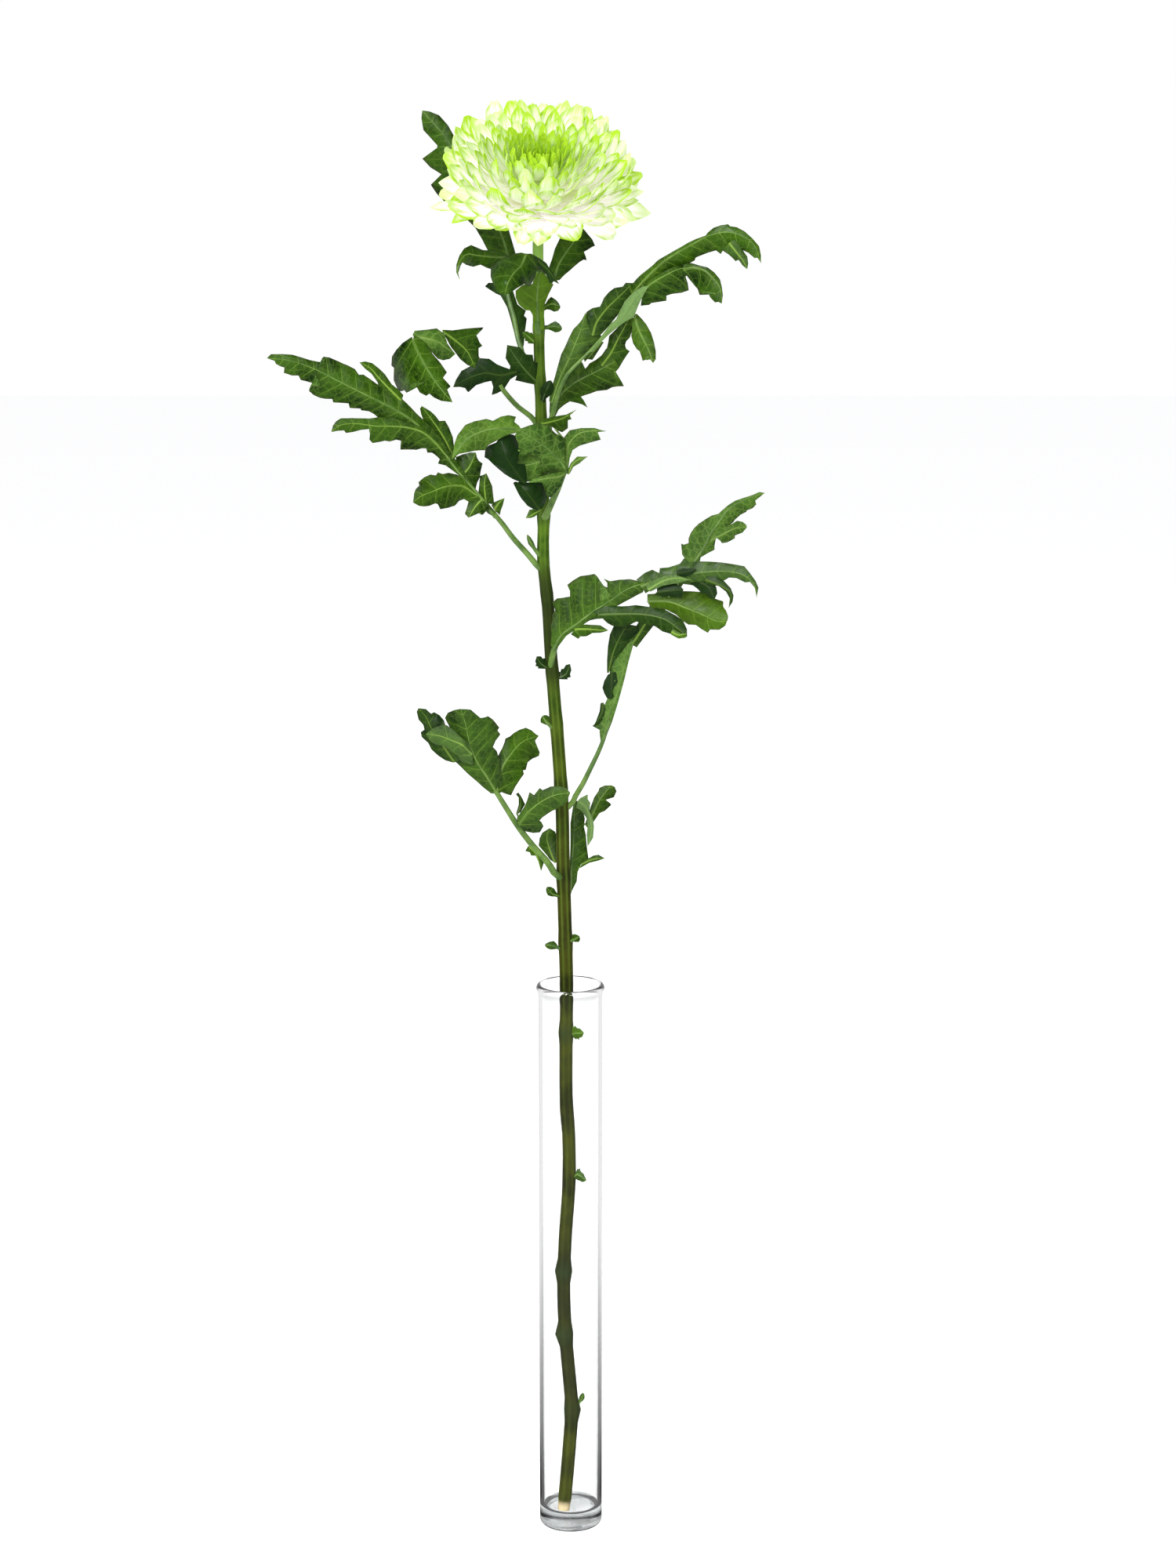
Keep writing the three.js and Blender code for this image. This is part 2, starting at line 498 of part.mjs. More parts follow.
// Rim floret: one free, spoon-ended ray floret under the whorls. The front ones are held up and the others
// droop.
function rimFloretGeometry(angle, droop) {
  const towardsBack = Math.sin(angle);
  const tipHeight = -1 - 9 * towardsBack - droop;
  const line = floretLine(7, [30, 4 + tipHeight / 4], [51, tipHeight]);
  const geometry = new THREE.BoxGeometry(1, 1, 1, 5, 2, 1);
  const place = geometry.getAttribute("position");
  for (let i = 0; i < place.count; i++) {
    const q = place.getX(i) + 0.5;
    const halfWidth = 1.2 + 4.8 * Math.sin(Math.PI * Math.min(1, q * 0.75) ** 1.3);
    const { x: radius, y: height } = line.getPoint(q);
    place.setXYZ(i, radius, place.getY(i) * 2 * halfWidth, height + place.getZ(i) * FLORET_THICKNESS);
  }
  return geometry;
}

addMesh("vase", vaseGeometry(), glass);
addMesh("stem", stemGeometry(), stemGreen);
for (const leaf of LEAVES) {
  const underside = ["leaf_front_centre", "leaf_left_low", "leaf_right_longest"].includes(leaf.name);
  addMesh(leaf.name, leafGeometry(leaf), underside ? paleLeafGreen : leafGreen);
}
for (const small of SMALL_LEAVES) addMesh(small.name, leafGeometry(smallLeaf(small)), leafGreen);

addMesh("receptacle", turned(RECEPTACLE, 16), stemGreen, head);
addMesh("tuft", turned(TUFT, 18), tuftGreen, head);
WHORLS.forEach((whorl, row) => {
  const material = row < 4 ? petalWhite : petalLime;
  addMesh(`ray_whorl_${row + 1}`, whorlGeometry(whorl), material, head);
});
for (let i = 0; i < RIM_FLORETS; i++) {
  const angle = (i / RIM_FLORETS) * Math.PI * 2 + 0.1;
  const floret = rimFloretGeometry(angle, i % 3).rotateZ(angle);
  addMesh(`rim_floret_${String(i + 1).padStart(2, "0")}`, floret, petalWhite, head);
}

export default model;
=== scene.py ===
# A long-stemmed chrysanthemum in a tall, narrow glass cylinder vase.
# Lengths are millimetres, apart from those of the camera and the studio, which are metres.
# +Z is up and the viewer stands at -Y.
import math
import random

import bpy
import numpy as np
from mathutils import Matrix, Vector
from mathutils.kdtree import KDTree


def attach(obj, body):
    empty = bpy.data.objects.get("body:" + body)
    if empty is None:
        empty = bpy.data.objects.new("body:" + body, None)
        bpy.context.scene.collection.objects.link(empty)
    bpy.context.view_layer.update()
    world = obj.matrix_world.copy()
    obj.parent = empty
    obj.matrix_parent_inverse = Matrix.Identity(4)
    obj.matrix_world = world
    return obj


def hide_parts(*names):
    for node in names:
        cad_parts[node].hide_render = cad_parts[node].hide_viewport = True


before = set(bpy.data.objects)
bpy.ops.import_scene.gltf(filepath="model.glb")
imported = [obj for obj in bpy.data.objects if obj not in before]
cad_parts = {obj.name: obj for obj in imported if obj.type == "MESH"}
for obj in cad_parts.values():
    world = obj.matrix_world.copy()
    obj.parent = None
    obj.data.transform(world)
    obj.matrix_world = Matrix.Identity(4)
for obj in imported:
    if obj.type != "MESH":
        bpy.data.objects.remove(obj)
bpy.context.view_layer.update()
mm = 0.001

view = dict(place=(0.0097, -2.08, 0.88), down=12.28, lens=90)


def makeCamera():
    camera = bpy.data.objects.new("camera", bpy.data.cameras.new("camera"))
    bpy.context.scene.collection.objects.link(camera)
    camera.location = view["place"]
    camera.rotation_euler = (math.radians(90 - view["down"]), 0, 0)
    camera.data.lens = view["lens"]
    bpy.context.scene.camera = camera


makeCamera()
print("camera set")


# Operators work on what is selected, so each piece is picked on its own first.
def letGo():
    if bpy.context.mode != "OBJECT":
        bpy.ops.object.mode_set(mode="OBJECT")
    bpy.ops.object.select_all(action="DESELECT")


def pick(*pieces):
    letGo()
    for piece in pieces:
        piece.select_set(True)
    bpy.context.view_layer.objects.active = pieces[0]


def newest(name):
    piece = bpy.context.view_layer.objects.active
    piece.name = piece.data.name = name
    return piece


def applyAll(piece):
    pick(piece)
    for modifier in list(piece.modifiers):
        bpy.ops.object.modifier_apply(modifier=modifier.name)


def joinPieces(pieces, name):
    pick(*pieces)
    if len(pieces) > 1:
        bpy.ops.object.join()
    return newest(name)


def smoothBelow(piece, degrees):  # edges that are sharper than this stay sharp
    pick(piece)
    bpy.ops.object.shade_smooth_by_angle(angle=math.radians(degrees))


def getPoints(piece):
    places = np.zeros(len(piece.data.vertices) * 3, np.float32)
    piece.data.vertices.foreach_get("co", places)
    return places.reshape(-1, 3).astype(float)


def setPoints(piece, places):
    piece.data.vertices.foreach_set("co", np.asarray(places, np.float32).ravel())
    piece.data.update()


def setMask(piece, name, values):  # one number for each point, or one for them all, which materials read
    mask = piece.data.attributes.get(name) or piece.data.attributes.new(name, "FLOAT", "POINT")
    values = np.broadcast_to(np.asarray(values, np.float32), len(piece.data.vertices))
    mask.data.foreach_set("value", np.ascontiguousarray(values))


def unit(vectors):
    return vectors / np.maximum(np.linalg.norm(vectors, axis=-1, keepdims=True), 1e-9)


def smoothLine(points, share):  # a line through all the points, at shares of their number
    points = np.asarray(points, float)
    last = len(points) - 1
    at = np.clip(np.asarray(share, float), 0, 1) * last
    low = np.minimum(at.astype(int), last - 1)
    w = (at - low)[:, None]
    more = np.vstack([2 * points[0] - points[1], points, 2 * points[-1] - points[-2]])
    a, b, c, d = more[low], more[low + 1], more[low + 2], more[low + 3]
    leave, arrive = (c - a) / 2, (d - b) / 2
    bent = (2 * b - 2 * c + leave + arrive) * w**3 + (3 * c - 3 * b - 2 * leave - arrive) * w**2
    return bent + leave * w + b


def evenShares(points, share):  # shares of the points' number that are even along the line, and its length
    fine = np.linspace(0, 1, 800)
    line = smoothLine(points, fine)
    run = np.concatenate([[0], np.cumsum(np.linalg.norm(np.diff(line, axis=0), axis=1))])
    return np.interp(np.asarray(share) * run[-1], run, fine), run[-1]


def spinProfile(name, profile, steps):  # turns a line of radius and height pairs around the Z axis
    letGo()
    bpy.ops.mesh.primitive_circle_add(vertices=len(profile), radius=1)
    piece = newest(name)
    setPoints(piece, np.array([(radius, 0, height) for radius, height in profile]) * mm)
    for edge in piece.data.edges:  # the edge that lies along the axis goes
        edge.select = all(piece.data.vertices[i].co.x < 1e-7 for i in edge.vertices)
    for vertex in piece.data.vertices:
        vertex.select = False
    bpy.ops.object.mode_set(mode="EDIT")
    bpy.ops.mesh.select_mode(type="EDGE")
    bpy.ops.mesh.delete(type="EDGE")
    bpy.ops.mesh.select_all(action="SELECT")
    bpy.ops.mesh.spin(steps=steps, angle=math.tau, center=(0, 0, 0), axis=(0, 0, 1))
    bpy.ops.mesh.select_all(action="SELECT")
    bpy.ops.mesh.remove_doubles(threshold=1e-6)
    bpy.ops.mesh.normals_make_consistent(inside=False)
    bpy.ops.object.mode_set(mode="OBJECT")
    return piece


def feed(tree, socket, value):  # links another socket's output, or sets a plain number or colour
    if isinstance(value, bpy.types.NodeSocket):
        tree.links.new(value, socket)
    else:
        socket.default_value = (*value, 1) if socket.type == "RGBA" else value


def put(tree, kind, inputs=None, **settings):
    node = tree.nodes.new("ShaderNode" + kind)
    for key, value in settings.items():
        setattr(node, key, value)
    for key, value in (inputs or {}).items():
        feed(tree, node.inputs[key], value)
    return node


def mixColour(tree, amount, first, second):
    return put(tree, "Mix", {0: amount, 6: first, 7: second}, data_type="RGBA").outputs[2]


def maths(tree, operation, *values, clamp=False):
    return put(tree, "Math", dict(enumerate(values)), operation=operation, use_clamp=clamp).outputs[0]


def plus(tree, first, second):
    return maths(tree, "ADD", first, second)


def minus(tree, first, second):
    return maths(tree, "SUBTRACT", first, second)


def times(tree, first, second):
    return maths(tree, "MULTIPLY", first, second)


def ramp(tree, value, low, high, toLow=0.0, toHigh=1.0):  # low may be the larger one, for a ramp that falls
    ends = {"Value": value, "From Min": low, "From Max": high, "To Min": toLow, "To Max": toHigh}
    return put(tree, "MapRange", ends, interpolation_type="SMOOTHSTEP").outputs["Result"]


def noise(tree, where, scale, detail, **more):
    inputs = {"Vector": where, "Scale": scale, "Detail": detail, **more}
    return put(tree, "TexNoise", inputs).outputs["Fac"]


def readMask(tree, name):
    return put(tree, "Attribute", attribute_type="GEOMETRY", attribute_name=name).outputs["Fac"]


def onObject(tree):
    return put(tree, "TexCoord").outputs["Object"]


def newFinish(name, **values):
    finish = bpy.data.materials.new(name)
    finish.use_nodes = True
    shader = finish.node_tree.nodes["Principled BSDF"]
    for key, value in values.items():
        feed(finish.node_tree, shader.inputs[key.replace("_", " ")], value)
    return finish, finish.node_tree, shader


def addRelief(tree, shader, height, strength, depth):
    bump = put(tree, "Bump", {"Height": height, "Strength": strength, "Distance": depth * mm})
    tree.links.new(bump.outputs["Normal"], shader.inputs["Normal"])


def mixShaders(tree, amount, first, second):
    return put(tree, "MixShader", {0: amount, 1: first.outputs[0], 2: second.outputs[0]})


def swapAfter(tree, bounce, plain, other):  # light that has bounced this way meets other in place of plain
    bounced = maths(tree, "GREATER_THAN", put(tree, "LightPath").outputs[bounce], 0.5)
    return mixShaders(tree, bounced, plain, other)


def showShader(tree, shader, output="Material Output"):
    tree.links.new(shader.outputs[0], tree.nodes[output].inputs["Surface"])


def letLightThrough(tree, shader, colour, share):  # a leaf or floret glows a little when lit from behind
    glow = put(tree, "BsdfTranslucent", {"Color": colour})
    showShader(tree, mixShaders(tree, share, shader, glow))


def newGroup(name, inputs, outputs):
    group = bpy.data.node_groups.new(name, "ShaderNodeTree")
    for title, value in inputs.items():
        kind = "Color" if isinstance(value, tuple) else "Float"
        socket = group.interface.new_socket(name=title, in_out="INPUT", socket_type="NodeSocket" + kind)
        socket.default_value = (*value, 1) if kind == "Color" else value
    for title, kind in outputs.items():
        group.interface.new_socket(name=title, in_out="OUTPUT", socket_type="NodeSocket" + kind)
    return group, group.nodes.new("NodeGroupInput"), group.nodes.new("NodeGroupOutput")


def useGroup(tree, group, **values):
    return put(tree, "Group", values, node_tree=group)


def makeMottle():  # living tissue: patches of two greens and a fine grain
    group, given, out = newGroup(
        "tissueMottle",
        dict(PatchSize=90.0, GrainSize=900.0, Light=(1, 1, 1), Dark=(0, 0, 0)),
        dict(Colour="Color", Height="Float"),
    )
    where = onObject(group)
    patches = noise(group, where, given.outputs["PatchSize"], 4.0)
    grain = noise(group, where, given.outputs["GrainSize"], 2.0)
    amount = maths(group, "ADD", ramp(group, patches, 0.35, 0.68), times(group, grain, 0.25), clamp=True)
    colour = mixColour(group, amount, given.outputs["Light"], given.outputs["Dark"])
    group.links.new(colour, out.inputs["Colour"])
    group.links.new(grain, out.inputs["Height"])
    return group


def makeVeins():  # the midrib, the lobes' veins and the fine net between them, from the masks in the blade
    group, given, out = newGroup(
        "leafVeins",
        dict(MidribWidth=0.8, LobeVeinWidth=0.34, NetSize=260.0, NetAmount=0.35),
        dict(Vein="Float", Halo="Float", Height="Float"),
    )
    side = maths(group, "ABSOLUTE", readMask(group, "fromMidrib"))
    lobe = maths(group, "ABSOLUTE", readMask(group, "fromLobeVein"))
    # Both kinds of vein thin out: the midrib towards the tip, those of the lobes towards the edge.
    width = times(group, given.outputs["MidribWidth"], minus(group, 1.15, readMask(group, "alongShare")))
    midrib = minus(group, 1.0, ramp(group, maths(group, "DIVIDE", side, width), 0.35, 1.0))
    thin = times(group, given.outputs["LobeVeinWidth"], minus(group, 1.1, readMask(group, "outShare")))
    lobeVein = minus(group, 1.0, ramp(group, maths(group, "DIVIDE", lobe, thin), 0.4, 1.2))
    cellInputs = {"Vector": onObject(group), "Scale": given.outputs["NetSize"]}
    cells = put(group, "TexVoronoi", cellInputs, feature="DISTANCE_TO_EDGE").outputs["Distance"]
    net = times(group, minus(group, 1.0, ramp(group, cells, 0.0, 0.12)), given.outputs["NetAmount"])
    vein = maths(group, "MAXIMUM", maths(group, "MAXIMUM", midrib, times(group, lobeVein, 0.45)), net)
    besideLobe = times(group, ramp(group, lobe, 3.4, 0.2), 0.75)
    halo = maths(group, "MAXIMUM", ramp(group, side, 6.0, 0.4), besideLobe)
    group.links.new(vein, out.inputs["Vein"])
    group.links.new(halo, out.inputs["Halo"])
    group.links.new(cells, out.inputs["Height"])
    return group


mottle = makeMottle()
veins = makeVeins()

vase = dict(
    height=315, radius=17.5, wall=2, floor=10.5, heel=3.2, rimRadius=18.8, rimDepth=4.5, floorCorner=3,
    sides=128, levels=(20, 60, 120, 180, 240), lastLevel=40, flare=8,  # the last two count down from the top
    # the grey for glass seen edge-on is painted shade and reflection
    clear=(0.985, 0.99, 0.99), edgeShadeGrey=(0.36, 0.38, 0.38), edgeShare=0.26,
    footGrey=(0.14, 0.15, 0.15), footFade=(11.5, 9), shadow=(0.93, 0.94, 0.94),
)


def roundCorner(middle, width, height, fromTurn, toTurn, steps):
    turns = np.radians(np.linspace(fromTurn, toTurn, steps))
    return [(middle[0] + width * math.cos(turn), middle[1] + height * math.sin(turn)) for turn in turns]


def vaseProfile():  # up the outside, over the rim, down the inside and across the floor
    outer, inner, top = vase["radius"], vase["radius"] - vase["wall"], vase["height"]
    heel, corner, floor = vase["heel"], vase["floorCorner"], vase["floor"]
    halfRim, flare = vase["rimDepth"] * 0.5, vase["flare"]
    line = [(0, 0), (outer - heel - 1.5, 0)]
    line += roundCorner((outer - heel, heel), heel, heel, -90, 0, 9)
    line += [(outer, height) for height in (*vase["levels"], top - vase["lastLevel"], top - flare)]
    for share in np.linspace(0.15, 1, 6):  # the wall widens into the rim
        widened = outer + (vase["rimRadius"] - outer) * share**2
        line.append((widened, top - flare + (flare - vase["rimDepth"] * 0.55) * share))
    half = (vase["rimRadius"] - inner) / 2
    line += roundCorner((inner + half, top - halfRim), half, halfRim, 20, 160, 8)
    line += [(inner, top - vase["rimDepth"]), (inner, top - vase["lastLevel"])]
    line += [(inner, height) for height in reversed(vase["levels"][1:])]
    line += roundCorner((inner - corner, floor + corner), corner, corner, 0, -90, 7)
    return line + [(inner * 0.5, floor + 0.15), (0, floor + 0.2)]  # the floor rises a little to its middle


def makeGlass():
    finish, tree, shader = newFinish("clearVaseGlass", Roughness=0.0, IOR=1.45, Transmission_Weight=1.0)
    # Where the thick glass is seen edge-on a painted grey stands in for the shade and dark reflections it
    # shows there, and faint streaks from pressing show in the foot.
    edge = put(tree, "LayerWeight", {"Blend": 0.5}).outputs["Facing"]
    where = onObject(tree)
    height = put(tree, "SeparateXYZ", {"Vector": where}).outputs["Z"]
    flatter = put(tree, "Mapping", {"Vector": where, "Scale": (1, 1, 5)}).outputs[0]
    swirl = noise(tree, flatter, 90.0, 3.0, Distortion=0.8)
    inFoot = ramp(tree, height, *[level * mm for level in vase["footFade"]])
    streaks = times(tree, inFoot, ramp(tree, swirl, 0.35, 0.65, 0.6, 1.0))
    # painted edge shade: grey where the glass is seen edge-on
    grey = ramp(tree, edge, 0.7, 1.0, 0.0, vase["edgeShare"])
    colour = mixColour(tree, grey, vase["clear"], vase["edgeShadeGrey"])
    tree.links.new(mixColour(tree, streaks, colour, vase["footGrey"]), shader.inputs["Base Color"])
    addRelief(tree, shader, swirl, 0.05, 0.4)
    unseen = put(tree, "BsdfTransparent", {"Color": vase["shadow"]})
    shadowRay = put(tree, "LightPath").outputs["Is Shadow Ray"]
    showShader(tree, mixShaders(tree, shadowRay, shader, unseen))
    return finish


def makeVase():
    piece = spinProfile("glassCylinder", vaseProfile(), vase["sides"])
    smoothBelow(piece, 35)
    piece.data.materials.append(makeGlass())
    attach(piece, "root")
    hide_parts("vase")


makeVase()
print("vase made")

stem = dict(
    line=[
        (-4, -9.5, 11), (-2.5, -8, 27), (-0.5, -5, 52), (0.5, -3, 70), (-1, 0, 89), (-3, 2, 112),
        (-4, 4, 139), (-3, 6, 168), (-1, 8, 197), (-1, 9, 224), (-2.5, 10, 247), (-2.5, 10.6, 280),
        (-2.2, 11, 312), (-3, 13.5, 345), (-4, 15, 380), (-4.5, 15, 411), (-6.5, 15, 444), (-8.5, 15, 470),
        (-10.5, 14, 498), (-12, 14, 524), (-14.4, 13, 548), (-14.1, 12, 574), (-14.7, 10, 601),
        (-15.4, 8, 631), (-16.2, 6, 661), (-16.5, 4.2, 690), (-16.6, 1.8, 719), (-16, -3.5, 738),
    ],
    nodes=[70, 112, 148, 202, 238, 284, 333, 369, 419, 455, 489, 527, 548, 574, 621, 643, 672],
    nodeSwell=0.75, nodeReach=2.6, nodeStainReach=1.6,
    # scars of stripped leaves: height, direction, how far they stand out
    scars=[(281, 180, 1), (238, 180, 1.8), (150, 180, 2), (150, 10, 0.9), (112, 180, 1.4), (70, 0, 1.3)],
    scarReach=2.1,
    footRadius=3.65, footHeight=60, radius=3.75, neckRadius=2.8, taperFrom=300, endReach=0.6,
    cutEdge=0.5, cutEdgeHeight=1.5,  # the cut foot has a softened edge
    ridges=7, ridgeHeight=0.22, ridgeTwist=0.004, ridgeFade=(250, 350), ridgeLeast=0.35, sides=56, rings=300,
    fresh=dict(PatchSize=70.0, GrainSize=700.0, Light=(0.07, 0.135, 0.009), Dark=(0.021, 0.055, 0.003)),
    old=dict(PatchSize=55.0, GrainSize=700.0, Light=(0.036, 0.04, 0.003), Dark=(0.011, 0.012, 0.001)),
    freshFade=(340, 580), ridgeColour=(0.12, 0.2, 0.025), ridgeShare=0.32,
    nodeColour=(0.02, 0.035, 0.012), nodeShare=0.55, cutColour=(0.5, 0.4, 0.24), cutFade=(18, 13),
    # other stretches of colour, two of them painted shade under the leaves: heights over which they come and
    # go, how strong they are, and the colour
    stretches=[
        # painted shade: the stem darkened where the leaves shade it
        ((465, 490), (555, 535), 0.85, (0.014, 0.02, 0.004)),  # darker under the leaves
        # painted shade higher up, where the upper leaves shade the stem
        ((580, 610), (685, 665), 0.4, (0.014, 0.024, 0.003)),
        ((665, 705), (900, 800), 0.8, (0.2, 0.36, 0.07)),  # young growth, up to the head
        ((50, 80), (200, 140), 0.55, (0.016, 0.018, 0.006)),  # darkened inside the vase
    ],
)


def stemAt(heights):  # centre points and tangents of the stem at heights
    fine = np.linspace(0, 1, 3000)
    at = np.interp(heights, smoothLine(stem["line"], fine)[:, 2], fine)
    below, above = [smoothLine(stem["line"], np.clip(at + step, 0, 1)) for step in (-1e-3, 1e-3)]
    return smoothLine(stem["line"], at), unit(above - below)


def stemRadius(heights):
    heights = np.asarray(heights, float)
    neck = np.clip((heights - stem["taperFrom"]) / (stem["line"][-1][2] - stem["taperFrom"]), 0, 1)
    neck = neck * neck * (3 - 2 * neck)
    radius = np.interp(heights, (0, stem["footHeight"]), (stem["footRadius"], stem["radius"]))
    radius = radius + (stem["neckRadius"] - radius) * neck
    for node in stem["nodes"]:
        radius = radius + stem["nodeSwell"] * np.exp(-(((heights - node) / stem["nodeReach"]) ** 2))
    return radius


def makeStemFinish():
    finish, tree, shader = newFinish("stemSkin", Roughness=0.45, Specular_IOR_Level=0.05)
    fresh, old = useGroup(tree, mottle, **stem["fresh"]), useGroup(tree, mottle, **stem["old"])
    height = readMask(tree, "height")
    young = ramp(tree, height, *stem["freshFade"])
    colour = mixColour(tree, young, old.outputs["Colour"], fresh.outputs["Colour"])
    ridge = times(tree, readMask(tree, "ridge"), stem["ridgeShare"])
    colour = mixColour(tree, ridge, colour, stem["ridgeColour"])
    # two of these stretches paint shade under the leaves
    for come, go, strength, other in stem["stretches"]:
        share = times(tree, ramp(tree, height, *come), ramp(tree, height, *go))
        colour = mixColour(tree, times(tree, share, strength), colour, other)
    joint = times(tree, readMask(tree, "joint"), stem["nodeShare"])
    colour = mixColour(tree, joint, colour, stem["nodeColour"])
    colour = mixColour(tree, ramp(tree, height, *stem["cutFade"]), colour, stem["cutColour"])
    tree.links.new(colour, shader.inputs["Base Color"])
    addRelief(tree, shader, fresh.outputs["Height"], 0.3, 0.4)
    return finish


def makeStem():
    letGo()
    bpy.ops.mesh.primitive_cylinder_add(vertices=stem["sides"], radius=1, depth=1, end_fill_type="TRIFAN")
    piece = newest("flowerStem")
    bpy.ops.object.mode_set(mode="EDIT")
    bpy.ops.mesh.select_all(action="DESELECT")
    bpy.ops.object.mode_set(mode="OBJECT")
    for edge in piece.data.edges:  # the edges that run along the stem are cut into rings
        ends = [piece.data.vertices[i].co.z for i in edge.vertices]
        edge.select = abs(ends[0] - ends[1]) > 0.5
    bpy.ops.object.mode_set(mode="EDIT")
    bpy.ops.mesh.select_mode(type="EDGE")
    bpy.ops.mesh.subdivide(number_cuts=stem["rings"])
    bpy.ops.object.mode_set(mode="OBJECT")
    places = getPoints(piece)
    foot, top = stem["line"][0][2], stem["line"][-1][2]
    heights = foot + (places[:, 2] + 0.5) * (top + stem["endReach"] - foot)
    angle = np.arctan2(places[:, 1], places[:, 0])
    inward = np.hypot(places[:, 0], places[:, 1])
    centre, along = stemAt(np.minimum(heights, top))
    right = unit(np.array([1.0, 0, 0]) - along * along[:, :1])
    back = np.cross(along, right)
    ridge = 0.5 + 0.5 * np.cos(stem["ridges"] * angle + heights * stem["ridgeTwist"])
    low, high = stem["ridgeFade"]
    above = np.clip((heights - low) / (high - low), stem["ridgeLeast"], 1)
    radius = stemRadius(heights) + stem["ridgeHeight"] * (ridge - 0.5) * above
    for scar, direction, size in stem["scars"]:
        facing = np.clip(np.cos(angle - math.radians(direction)), 0, 1) ** 3
        radius = radius + size * facing * np.exp(-(((heights - scar) / stem["scarReach"]) ** 2))
    cut = 1 - np.clip((heights - foot) / stem["cutEdgeHeight"], 0, 1)
    radius = ((radius - stem["cutEdge"] * cut) * inward)[:, None]
    centre[:, 2] = heights
    across, deep = np.cos(angle)[:, None], np.sin(angle)[:, None]
    setPoints(piece, (centre + right * radius * across + back * radius * deep) * mm)
    setMask(piece, "ridge", ridge**3 * above)
    setMask(piece, "height", heights)
    joint = sum(np.exp(-(((heights - node) / stem["nodeStainReach"]) ** 2)) for node in stem["nodes"])
    setMask(piece, "joint", np.clip(joint, 0, 1))
    smoothBelow(piece, 50)
    piece.data.materials.clear()
    piece.data.materials.append(makeStemFinish())
    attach(piece, "root")
    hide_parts("stem")


makeStem()
print("stem made")

leafFinish = dict(
    upper=dict(
        light=(0.023, 0.067, 0.002), dark=(0.002, 0.011, 0.001), halo=(0.036, 0.094, 0.003),
        vein=(0.15, 0.25, 0.03), roughness=0.4, netAmount=0.12,
    ),
    under=dict(
        light=(0.04, 0.102, 0.008), dark=(0.01, 0.036, 0.002), halo=(0.058, 0.132, 0.014),
        vein=(0.15, 0.24, 0.045), roughness=0.62, netAmount=0.3,
    ),
    edge=(0.02, 0.02, 0.008), edgeShare=0.7, haloShare=0.5, shineBy=0.14,
    # colours that three masks bring in, from a part's tone and sheen value: painted light where a part is
    # lit, painted shade where it is shaded, and a painted pale sheen
    tones=dict(paintedLight=(0.12, 0.24, 0.006), depth=(0.006, 0.02, 0.004), paleSheen=(0.15, 0.25, 0.09)),
    through=(0.085, 0.175, 0.006), throughShare=0.1,
    # the third midrib colour is painted shade
    ribLight=(0.11, 0.2, 0.03), ribDark=(0.045, 0.105, 0.012), ribShade=(0.035, 0.07, 0.015),
)


def makeLeafFinish(name, side):
    finish, tree, shader = newFinish(name, Specular_IOR_Level=0.13)
    tissue = useGroup(tree, mottle, PatchSize=60.0, GrainSize=1400.0, Light=side["light"], Dark=side["dark"])
    lines = useGroup(tree, veins, NetAmount=side["netAmount"])
    halo = times(tree, lines.outputs["Halo"], leafFinish["haloShare"])
    colour = mixColour(tree, halo, tissue.outputs["Colour"], side["halo"])
    edge = ramp(tree, readMask(tree, "outShare"), 0.9, 1.0, 0.0, leafFinish["edgeShare"])
    colour = mixColour(tree, edge, colour, leafFinish["edge"])
    colour = mixColour(tree, lines.outputs["Vein"], colour, side["vein"])
    # painted light, painted shade and a painted pale sheen, as each part's masks ask
    for mask, other in leafFinish["tones"].items():
        colour = mixColour(tree, ramp(tree, readMask(tree, mask), 0.0, 1.0), colour, other)
    tree.links.new(colour, shader.inputs["Base Color"])
    wet = noise(tree, onObject(tree), 140.0, 3.0)
    rough = ramp(tree, wet, 0.3, 0.7, side["roughness"] - 0.08, side["roughness"] + 0.1)
    shine = times(tree, readMask(tree, "gloss"), leafFinish["shineBy"])
    tree.links.new(minus(tree, rough, shine), shader.inputs["Roughness"])
    relief = times(tree, lines.outputs["Height"], 0.5)
    relief = plus(tree, relief, times(tree, tissue.outputs["Height"], 0.12))
    relief = plus(tree, relief, times(tree, lines.outputs["Vein"], 0.25))
    addRelief(tree, shader, relief, 0.35, 0.6)
    letLightThrough(tree, shader, leafFinish["through"], leafFinish["throughShare"])
    return finish


def makeRibFinish():
    finish, tree, shader = newFinish("midribAndPetiole", Roughness=0.5)
    greens = dict(Light=leafFinish["ribLight"], Dark=leafFinish["ribDark"])
    tissue = useGroup(tree, mottle, PatchSize=110.0, **greens)
    # painted shade: the midrib of a shaded part darkens with it
    deep = ramp(tree, readMask(tree, "depth"), 0.0, 1.0)
    colour = mixColour(tree, deep, tissue.outputs["Colour"], leafFinish["ribShade"])
    tree.links.new(colour, shader.inputs["Base Color"])
    addRelief(tree, shader, tissue.outputs["Height"], 0.25, 0.3)
    return finish


leafUpper = makeLeafFinish("leafUpperSide", leafFinish["upper"])
leafUnder = makeLeafFinish("leafUnderside", leafFinish["under"])
ribFinish = makeRibFinish()

foldedPlan = dict(
    columns=8, step=0.8, thickness=0.35, ripple=0.45, rippleTurn=0.55, quilt=0.5, groove=2.2, firmWidth=5,
    veinSpacing=8.5, veinSlant=0.7, ribReach=0.95, ribStep=3, ribBack=0.1,
    gap=0.4, veinSink=0.3, bridgeRadii=(0.6, 0.5), petioleRise=0.6,
    undersides=("leaf_front_centre", "leaf_right_longest", "leaf_left_low"),
)


